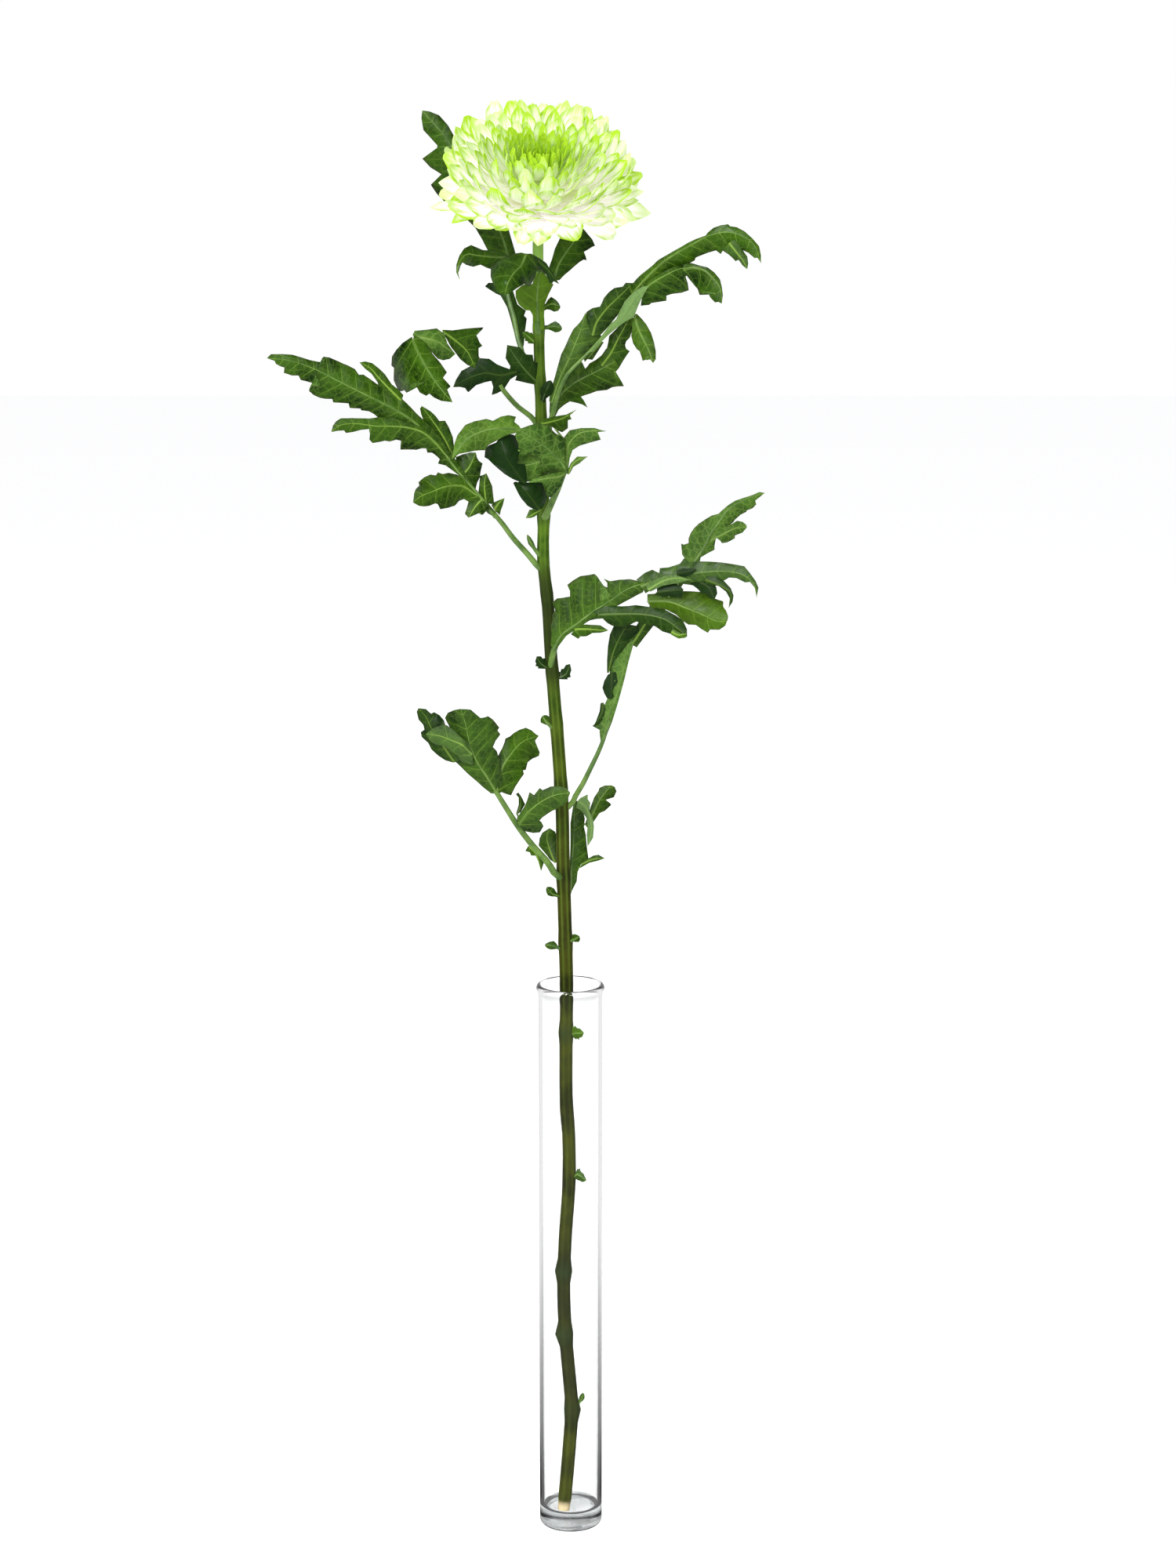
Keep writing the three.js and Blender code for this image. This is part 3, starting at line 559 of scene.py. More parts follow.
def veinTube(name, paths):  # paths: points and radii
    curve = bpy.data.curves.new(name, "CURVE")
    curve.dimensions = "3D"
    curve.bevel_depth = 1.0
    curve.bevel_resolution = 2
    curve.use_fill_caps = True
    for points, radii in paths:
        spline = curve.splines.new("POLY")
        spline.points.add(len(points) - 1)
        for point, place, radius in zip(spline.points, points, radii):
            point.co = (*(place * mm), 1)
            point.radius = radius * mm
    piece = bpy.data.objects.new(name, curve)
    bpy.context.scene.collection.objects.link(piece)
    pick(piece)
    bpy.ops.object.convert(target="MESH")
    return newest(name)


def edgeShares(edge, spine):  # how far along the spine each edge point lies, always onwards
    steps = 240
    fine, _ = evenShares(spine, np.linspace(0, 1, steps))
    line = smoothLine(spine, fine)[:, [0, 2]]
    shares = np.array([np.argmin(np.hypot(*(line - point).T)) for point in edge]) / (steps - 1)
    shares[0], shares[-1] = 0, 1
    least = 0.3 / len(edge)
    for i in range(1, len(edge)):
        shares[i] = max(shares[i], shares[i - 1] + least)
    shares[-1] = 1
    for i in range(len(edge) - 2, 0, -1):
        shares[i] = min(shares[i], shares[i + 1] - least)
    return shares


def growPart(name, part, number):
    plan = foldedPlan
    spine = np.array(part["spine"], float)
    _, length = evenShares(spine, [0.0])
    tip = (spine[-1][0], spine[-1][2])
    ends = part.get("ends", (tip, tip))
    edges = [np.array([*part[side], end], float) for side, end in zip(("left", "right"), ends)]
    shares = [edgeShares(edge, spine) for edge in edges]
    rows = np.linspace(0, 1, max(8, int(length / plan["step"])))
    rows = np.unique(np.round(np.concatenate([rows, *shares]), 4))
    letGo()
    bpy.ops.mesh.primitive_grid_add(x_subdivisions=2 * plan["columns"], y_subdivisions=len(rows) - 1, size=2)
    piece = newest(name)
    flat = getPoints(piece)
    share = np.interp((flat[:, 1] + 1) / 2, np.linspace(0, 1, len(rows)), rows)
    across, out = flat[:, 0], np.abs(flat[:, 0])
    at, _ = evenShares(spine, share)
    middle = smoothLine(spine, at)
    sides = []
    for marks, edge in zip(shares, edges):
        sides.append(np.stack([np.interp(share, marks, edge[:, axis]) for axis in (0, 1)], 1))
    edge = np.where((across < 0)[:, None], *sides)
    away = np.hypot(*(edge - middle[:, [0, 2]]).T) * out
    spacing = plan["veinSpacing"]
    vein = (share * length - plan["veinSlant"] * away + spacing / 2) % spacing - spacing / 2
    body = np.clip(away / plan["firmWidth"], 0, 1)
    back = np.where(across < 0, *part["lean"]) * away + part["droop"] * (away / 10) ** 2
    back -= plan["quilt"] * (1 - np.exp(-((vein / plan["groove"]) ** 2))) * body * (1 - out**4)
    back += plan["ripple"] * body * out**3 * np.sin(share * length * plan["rippleTurn"] + number)
    places = np.stack([
        middle[:, 0] + (edge[:, 0] - middle[:, 0]) * out,
        middle[:, 1] + back,
        middle[:, 2] + (edge[:, 1] - middle[:, 2]) * out,
    ], 1)
    setPoints(piece, places * mm)
    masks = dict(fromMidrib=away * np.sign(across), fromLobeVein=vein, outShare=out, alongShare=share)
    for mask, values in masks.items():
        setMask(piece, mask, values)
    if sum(face.normal.y * face.area for face in piece.data.polygons) > 0:  # the outside looks at the viewer
        pick(piece)
        bpy.ops.object.mode_set(mode="EDIT")
        bpy.ops.mesh.select_all(action="SELECT")
        bpy.ops.mesh.flip_normals()
        bpy.ops.object.mode_set(mode="OBJECT")
    solid = piece.modifiers.new("thickness", "SOLIDIFY")
    solid.thickness = plan["thickness"] * mm
    solid.offset = -1
    solid.material_offset = 1
    for finish in (leafUnder, leafUpper) if part.get("under") else (leafUpper, leafUnder):
        piece.data.materials.append(finish)
    applyAll(piece)
    pieces = [piece]
    if part.get("rib"):
        steps = np.linspace(0, plan["ribReach"], max(5, int(length / plan["ribStep"])))
        at, _ = evenShares(spine, steps)
        radii = part["rib"] * (1.1 - 0.8 * steps)  # thinner towards the tip
        rib = veinTube(name + "_rib", [(smoothLine(spine, at) + [0, plan["ribBack"], 0], radii)])
        rib.data.materials.append(ribFinish)
        for mask in masks:
            setMask(rib, mask, 0)
        pieces.append(rib)
    piece = joinPieces(pieces, name)
    # tone paints a part: shade above 0, light below
    tone = part.get("tone", 0)
    setMask(piece, "depth", max(0, tone))
    setMask(piece, "paintedLight", max(0, -tone))
    # the sheen value paints a pale grey sheen on the part
    for mask in ("gloss", "paleSheen"):
        setMask(piece, mask, part.get(mask, 0))
    return piece


def settleLeaf(piece, node):
    smoothBelow(piece, 40)
    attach(piece, "root")
    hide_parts(node)


def bridgeGaps(pieces, trunk):  # short veins that join the parts of a leaf where they do not touch
    reached = [Vector(point) for point in trunk]
    waiting = [[Vector(point) for point in getPoints(piece)[::5] / mm] for piece in pieces]
    paths = []
    while waiting:
        tree = KDTree(len(reached))
        for number, point in enumerate(reached):
            tree.insert(point, number)
        tree.balance()
        nearest = []
        for number, points in enumerate(waiting):
            gap, place = min((tree.find(point)[2], place) for place, point in enumerate(points))
            nearest.append((gap, number, place))
        gap, number, place = min(nearest)
        points = waiting.pop(number)
        if gap > foldedPlan["gap"]:
            here, there = points[place], tree.find(points[place])[0]
            sink = (here - there).normalized() * foldedPlan["veinSink"]
            paths.append((np.array([there - sink, here + sink]), foldedPlan["bridgeRadii"]))
        reached += points
    return paths


def petioleLine(stalk):  # every petiole starts inside the stem
    line = np.array(stalk, float)
    reach = np.linalg.norm(line[0, :2] - stemAt(line[:1, 2])[0][0, :2])
    foot, _ = stemAt(line[:1, 2] - foldedPlan["petioleRise"] * reach)
    line = np.vstack([foot, line])
    at, _ = evenShares(line, np.linspace(0, 1, 16))
    return smoothLine(line, at)


def growLeaf(leaf):
    name = leaf["name"].replace("leaf_", "leafBlade_")
    parts = [growPart("%s_%d" % (name, number), part, number) for number, part in enumerate(leaf["parts"])]
    line = petioleLine(leaf["stalk"])
    paths = [(line, np.linspace(*leaf["stalkRadius"], len(line)))]
    stalk = veinTube(name + "_stalk", paths + bridgeGaps(parts, line))
    stalk.data.materials.append(ribFinish)
    settleLeaf(joinPieces([*parts, stalk], name), leaf["name"])


# A leaf is put together from parts: a spine of (x, y, z) from base to tip and two edges of (x, z) beside it,
# which end in the spine's tip unless ends gives them two points. lean sets how far each edge lies behind the
# spine for every millimetre beside it, and droop how much more at 10 mm. rib is the radius of a midrib that
# stands out, tone paints shade on a part above 0 and light below, its sheen value paints a pale sheen, gloss
# shines, and under turns the lower face to the viewer.
curledLeft = dict(  # curls over at its crown, left of the stem
    name="leaf_left_curled", stalkRadius=(1.5, 1.3),
    stalk=[(-16.5, 9, 620), (-20.5, 8, 626), (-28, 4, 632.5), (-34.5, -1, 640.5), (-37, -4, 645)],
    parts=[dict(
        lean=(0.25, -0.1), droop=2, tone=0.75,
        spine=[(-28, -2, 651.5), (-36.5, -6, 650), (-44.5, -9, 651.5), (-53.5, -11, 649),
            (-61.5, -13, 644.5)],
        left=[(-28, 649.5), (-31.5, 647.5), (-35, 642), (-38.5, 640), (-41.5, 639), (-40.5, 643.5),
            (-41.5, 647), (-45, 646.5), (-49.5, 645), (-53.5, 641.5), (-54, 643.5), (-58, 644.5)],
        right=[(-25.5, 652.5), (-29, 652), (-33, 653.5), (-38.5, 656), (-42.5, 659), (-47.5, 659.5),
            (-52, 655.5), (-57, 653), (-60, 648.5)],
    ), dict(
        lean=(0.1, 0.35), droop=1.5, tone=0.25, gloss=0.3, ends=((-50, 654.5), (-50, 654.5)),
        spine=[(-66.5, -21, 674.5), (-60.5, -18, 670), (-54, -14, 663.5), (-50, -11, 655)],
        left=[(-65, 671.5), (-62, 665.5), (-59.5, 662), (-57.5, 659), (-54, 656)],
        right=[(-66.5, 675.5), (-61.5, 675), (-55, 675.5), (-49, 675.5), (-45.5, 675.5), (-46, 674.5),
            (-50, 673), (-48.5, 670.5), (-47.5, 668), (-46, 666), (-48, 665.5), (-48, 660.5), (-47.5, 660),
            (-49, 657)],
    ), dict(
        lean=(-0.2, 0.4), droop=1, rib=0.3, tone=-0.05, under=1,
        spine=[(-81.5, -27, 672.5), (-74.5, -27, 671.5), (-68.5, -25, 669.5), (-64.5, -22, 666),
            (-60, -17, 662.5)],
        left=[(-81.5, 670.5), (-77.5, 668), (-73, 665.5), (-69, 660.5), (-66.5, 659.5), (-63, 660)],
        right=[(-82, 673.5), (-81, 675.5), (-75.5, 676), (-69.5, 676.5), (-65.5, 673.5), (-64, 668.5),
            (-61.5, 664.5)],
    ), dict(
        lean=(0.35, 0.3), droop=4, rib=0.35, tone=0.1, gloss=0.9,
        spine=[(-82, -28, 671), (-78, -33, 663), (-72, -36, 653), (-65.5, -38, 644.5), (-61, -38, 639.5)],
        left=[(-82.5, 672.5), (-87.5, 669), (-91, 665), (-93.5, 661), (-94, 656), (-92.5, 655), (-93, 648),
            (-90.5, 641.5), (-89, 645.5), (-86, 642), (-84, 646.5), (-81.5, 649), (-78.5, 643.5), (-75, 642),
            (-74, 644), (-71, 641.5), (-67, 640)],
        right=[(-81, 673.5), (-75, 669.5), (-71.5, 664), (-68, 660), (-64, 654.5), (-66, 652), (-62, 647.5),
            (-64, 646.5)],
    )],
)
domedFront = dict(  # small and domed, in front of the stem under the flower
    name="leaf_under_flower_domed", stalkRadius=(1.6, 1.5),
    stalk=[(-17, 1, 673), (-17, -2, 678)],
    parts=[dict(
        lean=(0.3, 0.35), droop=2, rib=0.75, tone=-0.38, ends=((-15.5, 706), (-15.5, 706)),
        spine=[(-16.5, -1, 673.5), (-17, -4, 682), (-17, -9, 692), (-16.5, -13, 699), (-15.5, -17, 704.5)],
        left=[(-19.5, 673.5), (-19.5, 681.5), (-21, 684), (-23.5, 684), (-27, 687), (-28.5, 690.5),
            (-28.5, 694.5), (-25, 697.5), (-23, 698.5), (-20.5, 696.5), (-18, 702.5)],
        right=[(-13.5, 673.5), (-13.5, 682), (-13, 688), (-11, 693), (-8.5, 698), (-10.5, 700.5),
            (-13, 704.5)],
    ), dict(
        lean=(0.25, 0.3), droop=7, rib=0.32, tone=0.35, gloss=1,
        spine=[(-22.5, -25, 715.5), (-25, -30, 710), (-29, -35, 706), (-32, -38, 701), (-33.5, -37, 695)],
        left=[(-25, 716), (-28.5, 715.5), (-32.5, 714.5), (-37.5, 711.5), (-41, 708.5), (-41, 704),
            (-39.5, 700), (-37.5, 696.5)],
        right=[(-20, 715.5), (-16, 713), (-12, 709.5), (-10.5, 706.5), (-11.5, 703.5), (-14.5, 707),
            (-17, 707), (-18, 703), (-20.5, 698.5), (-23, 700.5), (-27, 698.5), (-31, 696)],
    ), dict(
        lean=(0.4, -0.2), droop=2, tone=0.7, gloss=0.8,
        spine=[(-17, -21, 712), (-11.5, -19, 707), (-8.5, -18, 703), (-5.5, -16, 699)],
        left=[(-17.5, 713), (-13, 711), (-10, 707), (-7.5, 703)],
        right=[(-16, 709.5), (-13, 705.5), (-11, 701.5), (-10.5, 699.5), (-8, 700.5)],
    )],
)
behindFlower = dict(  # rises behind the flower on the left
    name="leaf_behind_flower", stalkRadius=(1.5, 1.1),
    stalk=[(-24, 10, 657.5), (-26, 12, 662.5), (-28, 15, 668.5), (-30, 17, 679), (-33, 20, 690),
        (-34.5, 24, 705)],
    parts=[dict(
        lean=(0.2, 0.3), droop=2, tone=0.55,
        spine=[(-25, 13, 662.5), (-28, 16, 670.5), (-30, 18, 679), (-33, 21, 690.5), (-37, 24, 694.5)],
        left=[(-26, 662.5), (-29, 667.5), (-31.5, 677), (-33.5, 683.5), (-37, 689.5), (-39.5, 690.5),
            (-43, 692.5), (-45.5, 694), (-43.5, 696), (-40, 696)],
        right=[(-24.5, 664.5), (-24, 670.5), (-23, 677.5), (-24.5, 679), (-23.5, 681.5), (-28, 685),
            (-29, 688), (-30.5, 692.5)],
    ), dict(
        lean=(-0.3, 0.5), droop=4, rib=0.3, tone=0.3, gloss=0.6,
        spine=[(-32.5, 18, 710), (-40.5, 10, 711), (-49, 2, 712.5), (-54, -3, 713.5), (-57.5, -8, 710.5),
            (-59, -10, 706), (-58, -9, 701)],
        left=[(-32.5, 709), (-37.5, 707.5), (-41.5, 704.5), (-44, 705.5), (-47, 707.5), (-51, 706.5),
            (-54, 708.5), (-56, 710.5), (-57.5, 707.5), (-58.5, 704.5)],
        right=[(-32.5, 711), (-38.5, 714), (-46, 715), (-49, 716.5), (-52, 718), (-55.5, 716.5), (-58, 713),
            (-59.5, 708.5), (-59.5, 704.5)],
    ), dict(
        lean=(0.15, 0.2), droop=2, rib=0.5, tone=0.12,
        spine=[(-31.5, 24, 705), (-36.5, 34, 720.5), (-44, 42, 734.5), (-53.5, 50, 751), (-66, 55, 770),
            (-79.5, 58, 785.5)],
        left=[(-36.5, 705), (-44, 712.5), (-47.5, 718.5), (-51, 724), (-55, 727.5), (-66.5, 735.5),
            (-72, 740.5), (-75.5, 745.5), (-69.5, 751.5), (-75.5, 755), (-80, 759.5), (-72, 762.5),
            (-71.5, 767), (-79, 775), (-80, 781.5)],
        right=[(-27, 705), (-30, 714.5), (-32.5, 722.5), (-36, 732.5), (-41.5, 745), (-52, 755.5),
            (-58, 762.5), (-61, 769.5), (-65.5, 777.5), (-70.5, 783), (-75.5, 785)],
    )],
)
frontCentre = dict(  # in front of the stem, mostly its underside seen
    name="leaf_front_centre", stalkRadius=(2.2, 1.3),
    stalk=[(-12.5, 6, 574.5), (-9.5, 2, 581.5), (-6, -5, 590), (-2.5, -12, 600)],
    parts=[dict(
        lean=(0.1, 0.3), droop=2, tone=0.1,
        spine=[(-15.5, -14, 625), (-9, -10, 626), (-3, -6, 627.5), (3.5, -4, 631.5)],
        left=[(-17, 625.5), (-14, 627.5), (-8, 628.5), (-2, 629)],
        right=[(-13.5, 624), (-10, 623.5), (-6, 620.5), (-4, 619.5), (-1, 621.5), (-1, 626), (1, 626.5),
            (0, 628.5)],
    ), dict(
        lean=(0.2, 0.25), droop=1.5, rib=0.3, tone=-0.02, under=1,
        spine=[(-2, -14, 599), (-1.5, -16, 608.5), (0, -19, 615.5), (5, -22, 621), (13, -22, 622.5),
            (19, -20, 622)],
        left=[(-3, 600), (-3.5, 608.5), (-3.5, 618), (0, 622.5), (6, 624), (13, 624)],
        right=[(-1, 599), (0, 607), (1.5, 611.5), (5, 614), (10.5, 616), (16.5, 617.5), (10, 619.5),
            (7.5, 620), (11, 621)],
    ), dict(
        lean=(0.2, 0.3), droop=1, tone=0.1, under=1,
        spine=[(-1, -13, 598), (1.5, -16, 604), (5, -19, 607), (9.5, -20, 608.5)],
        left=[(-1.5, 599.5), (0.5, 604.5), (4, 608.5)],
        right=[(0, 598.5), (2, 602.5), (5, 604.5), (7.5, 607)],
    ), dict(
        lean=(0.25, 0.2), droop=1.5, rib=0.6, tone=-0.04, under=1,
        spine=[(-1.5, -14, 599), (-4.5, -19, 605.5), (-11, -25, 613), (-18.5, -30, 619),
            (-26.5, -32, 624.5)],
        left=[(-2, 598), (-6, 599), (-10, 598.5), (-15.5, 598), (-19.5, 596.5), (-22, 595.5), (-22.5, 597),
            (-17.5, 601), (-15, 604.5), (-15.5, 607.5), (-19, 609.5), (-21.5, 611), (-24.5, 609), (-28, 606),
            (-26.5, 612), (-27.5, 618), (-29, 621)],
        right=[(-1, 600), (-2.5, 606.5), (-3, 615.5), (-3.5, 619), (-7.5, 621.5), (-11.5, 626),
            (-16.5, 627.5), (-20.5, 626.5), (-25.5, 625)],
    ), dict(
        lean=(0.3, 0.1), droop=2, rib=0.3, tone=0.12, under=1,
        spine=[(-1.5, -14, 599), (-6, -18, 597.5), (-13, -21, 597), (-22, -22, 595)],
        left=[(-3, 596), (-4.5, 592.5), (-7, 589), (-10, 586), (-12.5, 587.5), (-12.5, 591), (-14.5, 595),
            (-17.5, 595)],
        right=[(-2, 600), (-6, 600), (-10, 599.5), (-16, 598), (-19.5, 597)],
    ), dict(
        lean=(0.35, 0.3), droop=4, rib=0.45, tone=-0.22, under=1,
        spine=[(-25.5, -32, 624), (-34, -36, 625.5), (-43.5, -39, 625), (-53.5, -42, 620.5),
            (-61.5, -44, 610.5)],
        left=[(-26, 623), (-31.5, 622), (-35.5, 620.5), (-38.5, 618.5), (-42.5, 616.5), (-44.5, 613.5),
            (-49.5, 614), (-57.5, 613)],
        right=[(-25.5, 625), (-26.5, 626.5), (-29, 628.5), (-28, 631), (-32, 632), (-36, 631.5),
            (-40, 629.5), (-43.5, 630.5), (-49.5, 629.5), (-54.5, 627.5), (-58.5, 622.5), (-60, 618.5)],
    ), dict(
        lean=(0.1, 0.1), droop=2, rib=0.3, tone=-0.12, under=1,
        spine=[(-9, -17, 605), (-14, -18, 606), (-19.5, -18, 604.5), (-24.5, -19, 604), (-29, -19, 606)],
        left=[(-10, 601), (-14, 599.5), (-17, 597), (-20.5, 595), (-23, 594.5), (-25.5, 600)],
        right=[(-9, 608), (-14.5, 611), (-20.5, 611), (-27, 611)],
    ), dict(
        lean=(0.1, 0.1), droop=9, tone=0.85, gloss=1, ends=((-37, 620), (-37, 620)),
        spine=[(-23.5, -22, 594.5), (-28, -27, 601), (-33, -32, 609.5), (-36, -32, 618)],
        left=[(-24.5, 594.5), (-29.5, 597), (-34.5, 600), (-39.5, 604.5), (-43, 607.5), (-45, 608),
            (-44.5, 613), (-42.5, 615.5), (-38.5, 617.5)],
        right=[(-22.5, 595.5), (-22.5, 599), (-23.5, 605), (-27.5, 606), (-26, 613.5), (-27.5, 618),
            (-29.5, 621), (-31.5, 621.5), (-34.5, 620.5)],
    ), dict(
        lean=(0.1, 0.1), droop=8, tone=0.8, gloss=0.9, ends=((-30, 594), (-30, 594)),
        spine=[(-16, -10, 579), (-20, -17, 585.5), (-24, -19, 591), (-28.5, -16, 594.5)],
        left=[(-18.5, 578.5), (-22.5, 581.5), (-25.5, 585.5), (-28, 590)],
        right=[(-14.5, 579.5), (-13, 582), (-12, 585.5), (-12.5, 591.5), (-15, 595), (-19.5, 594.5),
            (-22.5, 594.5), (-25.5, 595)],
    ), dict(
        lean=(0.1, 0.1), droop=2, tone=-0.1,
        spine=[(-15.5, -4, 578), (-19.5, -7, 576), (-23.5, -8, 574)],
        left=[(-16, 576.5), (-19, 574.5), (-21, 574)],
        right=[(-16.5, 578), (-21.5, 578.5)],
    )],
)
longLeft = dict(  # the big one on the left
    name="leaf_left_long", stalkRadius=(1.7, 1.3),
    stalk=[(-17, 12, 544.5), (-23, 10, 552), (-30.5, 7, 561), (-36, 4, 569), (-40.5, 1, 575)],
    parts=[dict(
        lean=(0.2, 0.15), droop=1, rib=0.9, ends=((-82, 622.5), (-76, 626.5)),
        spine=[(-40, 2, 573), (-48, -2.5, 585), (-57, -7, 596), (-65, -11, 607), (-71, -14, 616.5),
            (-79, -17.5, 624)],
        left=[(-44, 575), (-50, 582), (-54.5, 590.5), (-59, 597), (-61, 598.5), (-66, 602.5), (-70, 603.5),
            (-69, 606), (-71, 608), (-73.5, 612), (-78, 618.5)],
        right=[(-37.5, 573), (-44.5, 582), (-50.5, 589.5), (-56, 598.5), (-59.5, 604), (-62.5, 608.5),
            (-66.5, 615), (-71, 621.5)],
    ), dict(
        lean=(0.1, 0.25), droop=1.5, rib=0.5, tone=0.02,
        spine=[(-77.5, -17, 622), (-83.5, -19.5, 628), (-91.5, -22, 633.5), (-99.5, -24, 638),
            (-109.5, -27.5, 643.5), (-121.5, -30.5, 650), (-133.5, -33.5, 656.5), (-145.5, -36.5, 661),
            (-157.5, -38.5, 662.5)],
        left=[(-75, 619), (-81.5, 621), (-89.5, 624), (-95.5, 627.5), (-101, 629.5), (-103, 631.5),
            (-105.5, 633), (-109.5, 633.5), (-110, 634.5), (-115.5, 635), (-116, 637.5), (-124, 638),
            (-124.5, 640), (-128, 640), (-131, 640.5), (-134, 642), (-136.5, 644.5), (-134.5, 647),
            (-130.5, 647), (-133.5, 648.5), (-137, 649.5), (-140.5, 650.5), (-141.5, 653), (-145, 653),
            (-149, 654.5), (-148.5, 657.5), (-150.5, 658), (-153, 659.5), (-153.5, 661)],
        right=[(-75, 625.5), (-81, 631.5), (-86, 637), (-90, 641), (-93.5, 644.5), (-97.5, 645.5),
            (-101.5, 647.5), (-104.5, 650), (-108, 652.5), (-110.5, 652.5), (-112.5, 655.5), (-116, 657.5),
            (-118.5, 658.5), (-122.5, 660.5), (-125.5, 662), (-128.5, 662.5), (-128, 659.5), (-131.5, 660),
            (-135.5, 661), (-139.5, 662.5), (-144.5, 664), (-149.5, 664.5), (-155.5, 664.5)],
    ), dict(
        lean=(0.1, 0.4), droop=2, tone=-0.08,
        spine=[(-88.5, -20.5, 638), (-94.5, -22.5, 644.5), (-100, -24, 650.5), (-104.5, -25.5, 656),
            (-110, -27, 659)],
        left=[(-93.5, 638), (-98.5, 644), (-100, 646), (-101, 648.5), (-104, 653), (-107, 655.5)],
        right=[(-87.5, 641), (-90.5, 644.5), (-93.5, 647), (-97, 652.5), (-100, 655.5), (-103.5, 658.5),
            (-107, 659.5)],
    ), dict(
        lean=(0.3, 0.1), droop=1.5, rib=0.25, tone=-0.04,
        spine=[(-63.5, -11, 606), (-71, -14.5, 615), (-77.5, -17.5, 621), (-85.5, -20.5, 624),
            (-93.5, -23, 625), (-102.5, -25.5, 625.5), (-112, -28, 627), (-120, -30, 626.5),
            (-125, -31.5, 623)],
        left=[(-67.5, 605), (-71, 608), (-73, 609.5), (-75.5, 609.5), (-76, 612), (-78.5, 612), (-81.5, 611),
            (-85.5, 611.5), (-89.5, 611.5), (-89, 614), (-88, 616.5), (-91.5, 617.5), (-95, 616.5),
            (-97.5, 617), (-100, 616.5), (-104, 616), (-105.5, 618), (-105, 621), (-104, 624),
            (-109.5, 623.5), (-114, 622.5), (-117.5, 622), (-118.5, 623.5), (-122, 623.5)],
        right=[(-64.5, 609), (-71, 618), (-77, 623.5), (-85.5, 627), (-93.5, 629.5), (-101, 630),
            (-105.5, 629.5), (-114, 630), (-120, 630), (-122.5, 628.5), (-124, 626.5)],
    ), dict(
        lean=(0.3, 0.1), droop=1.5, rib=0.25, tone=-0.12,
        spine=[(-49, -3.5, 585.5), (-57, -7.5, 591), (-65.5, -11.5, 591.5), (-73.5, -15, 589),
            (-79, -17.5, 587), (-83, -19, 584)],
        left=[(-47, 581.5), (-50.5, 581.5), (-54, 582), (-56.5, 583.5), (-59, 582.5), (-61.5, 580),
            (-64.5, 579.5), (-69, 579), (-70, 582), (-71.5, 582.5), (-74.5, 581.5), (-77.5, 581.5),
            (-80, 582)],
        right=[(-51.5, 590.5), (-55.5, 595.5), (-60, 597.5), (-64.5, 598.5), (-67.5, 598), (-70, 599),
            (-71, 597.5), (-74, 598), (-77.5, 596.5), (-80, 594.5), (-79, 593.5), (-81.5, 591),
            (-82.5, 588.5)],
    ), dict(
        lean=(0.2, 0.2), droop=2, tone=0.08,
        spine=[(-47, -2.5, 583.5), (-50.5, -4, 579.5), (-54, -6, 574)],
        left=[(-53, 584.5), (-54, 582.5), (-55, 579), (-56, 576)],
        right=[(-42, 578), (-44.5, 577), (-46.5, 575), (-47.5, 576.5), (-50, 575.5)],
    ), dict(
        lean=(0.2, 0.3), droop=2, tone=0.25,
        spine=[(-57, -6.5, 597), (-53.5, -5, 601), (-51.5, -3.5, 605), (-50, -3, 608.5)],
        left=[(-61, 603), (-60.5, 606), (-57, 607.5), (-53, 608.5)],
        right=[(-50.5, 588), (-49.5, 592), (-48, 595), (-47.5, 598.5), (-46.5, 602.5), (-48.5, 604),
            (-49.5, 606)],
    ), dict(
        lean=(0.2, 0.3), droop=2, tone=0.15,
        spine=[(-45, 0, 581), (-45.5, -0.5, 587), (-45.5, -0.5, 592.5), (-44.5, 0, 597)],
        left=[(-49, 586), (-48.5, 590), (-48, 595.5), (-46.5, 596)],
        right=[(-40.5, 580), (-41, 585), (-41.5, 590), (-43, 593.5)],
    ), dict(
        lean=(0.2, 0.3), droop=1, tone=0.2,
        spine=[(-40.5, 2, 577), (-38, 3.5, 580.5), (-35, 5, 583)],
        left=[(-42, 579.5), (-40.5, 581), (-38, 582)],
        right=[(-37.5, 574), (-37, 576.5), (-36, 579)],
    ), dict(
        lean=(0.25, 0.2), droop=2, tone=0.15,
        spine=[(-62, -8.5, 606.5), (-66, -10.5, 616), (-70, -12.5, 623), (-74, -14.5, 629),
            (-78, -16.5, 635)],
        left=[(-67, 611.5), (-71, 618.5), (-74.5, 623), (-77.5, 627.5), (-78.5, 630.5), (-79, 633.5)],
        right=[(-60, 606.5), (-61.5, 613.5), (-62, 617.5), (-64, 623), (-66, 626.5), (-69, 626.5),
            (-71, 629.5), (-73.5, 632)],
    )],
)
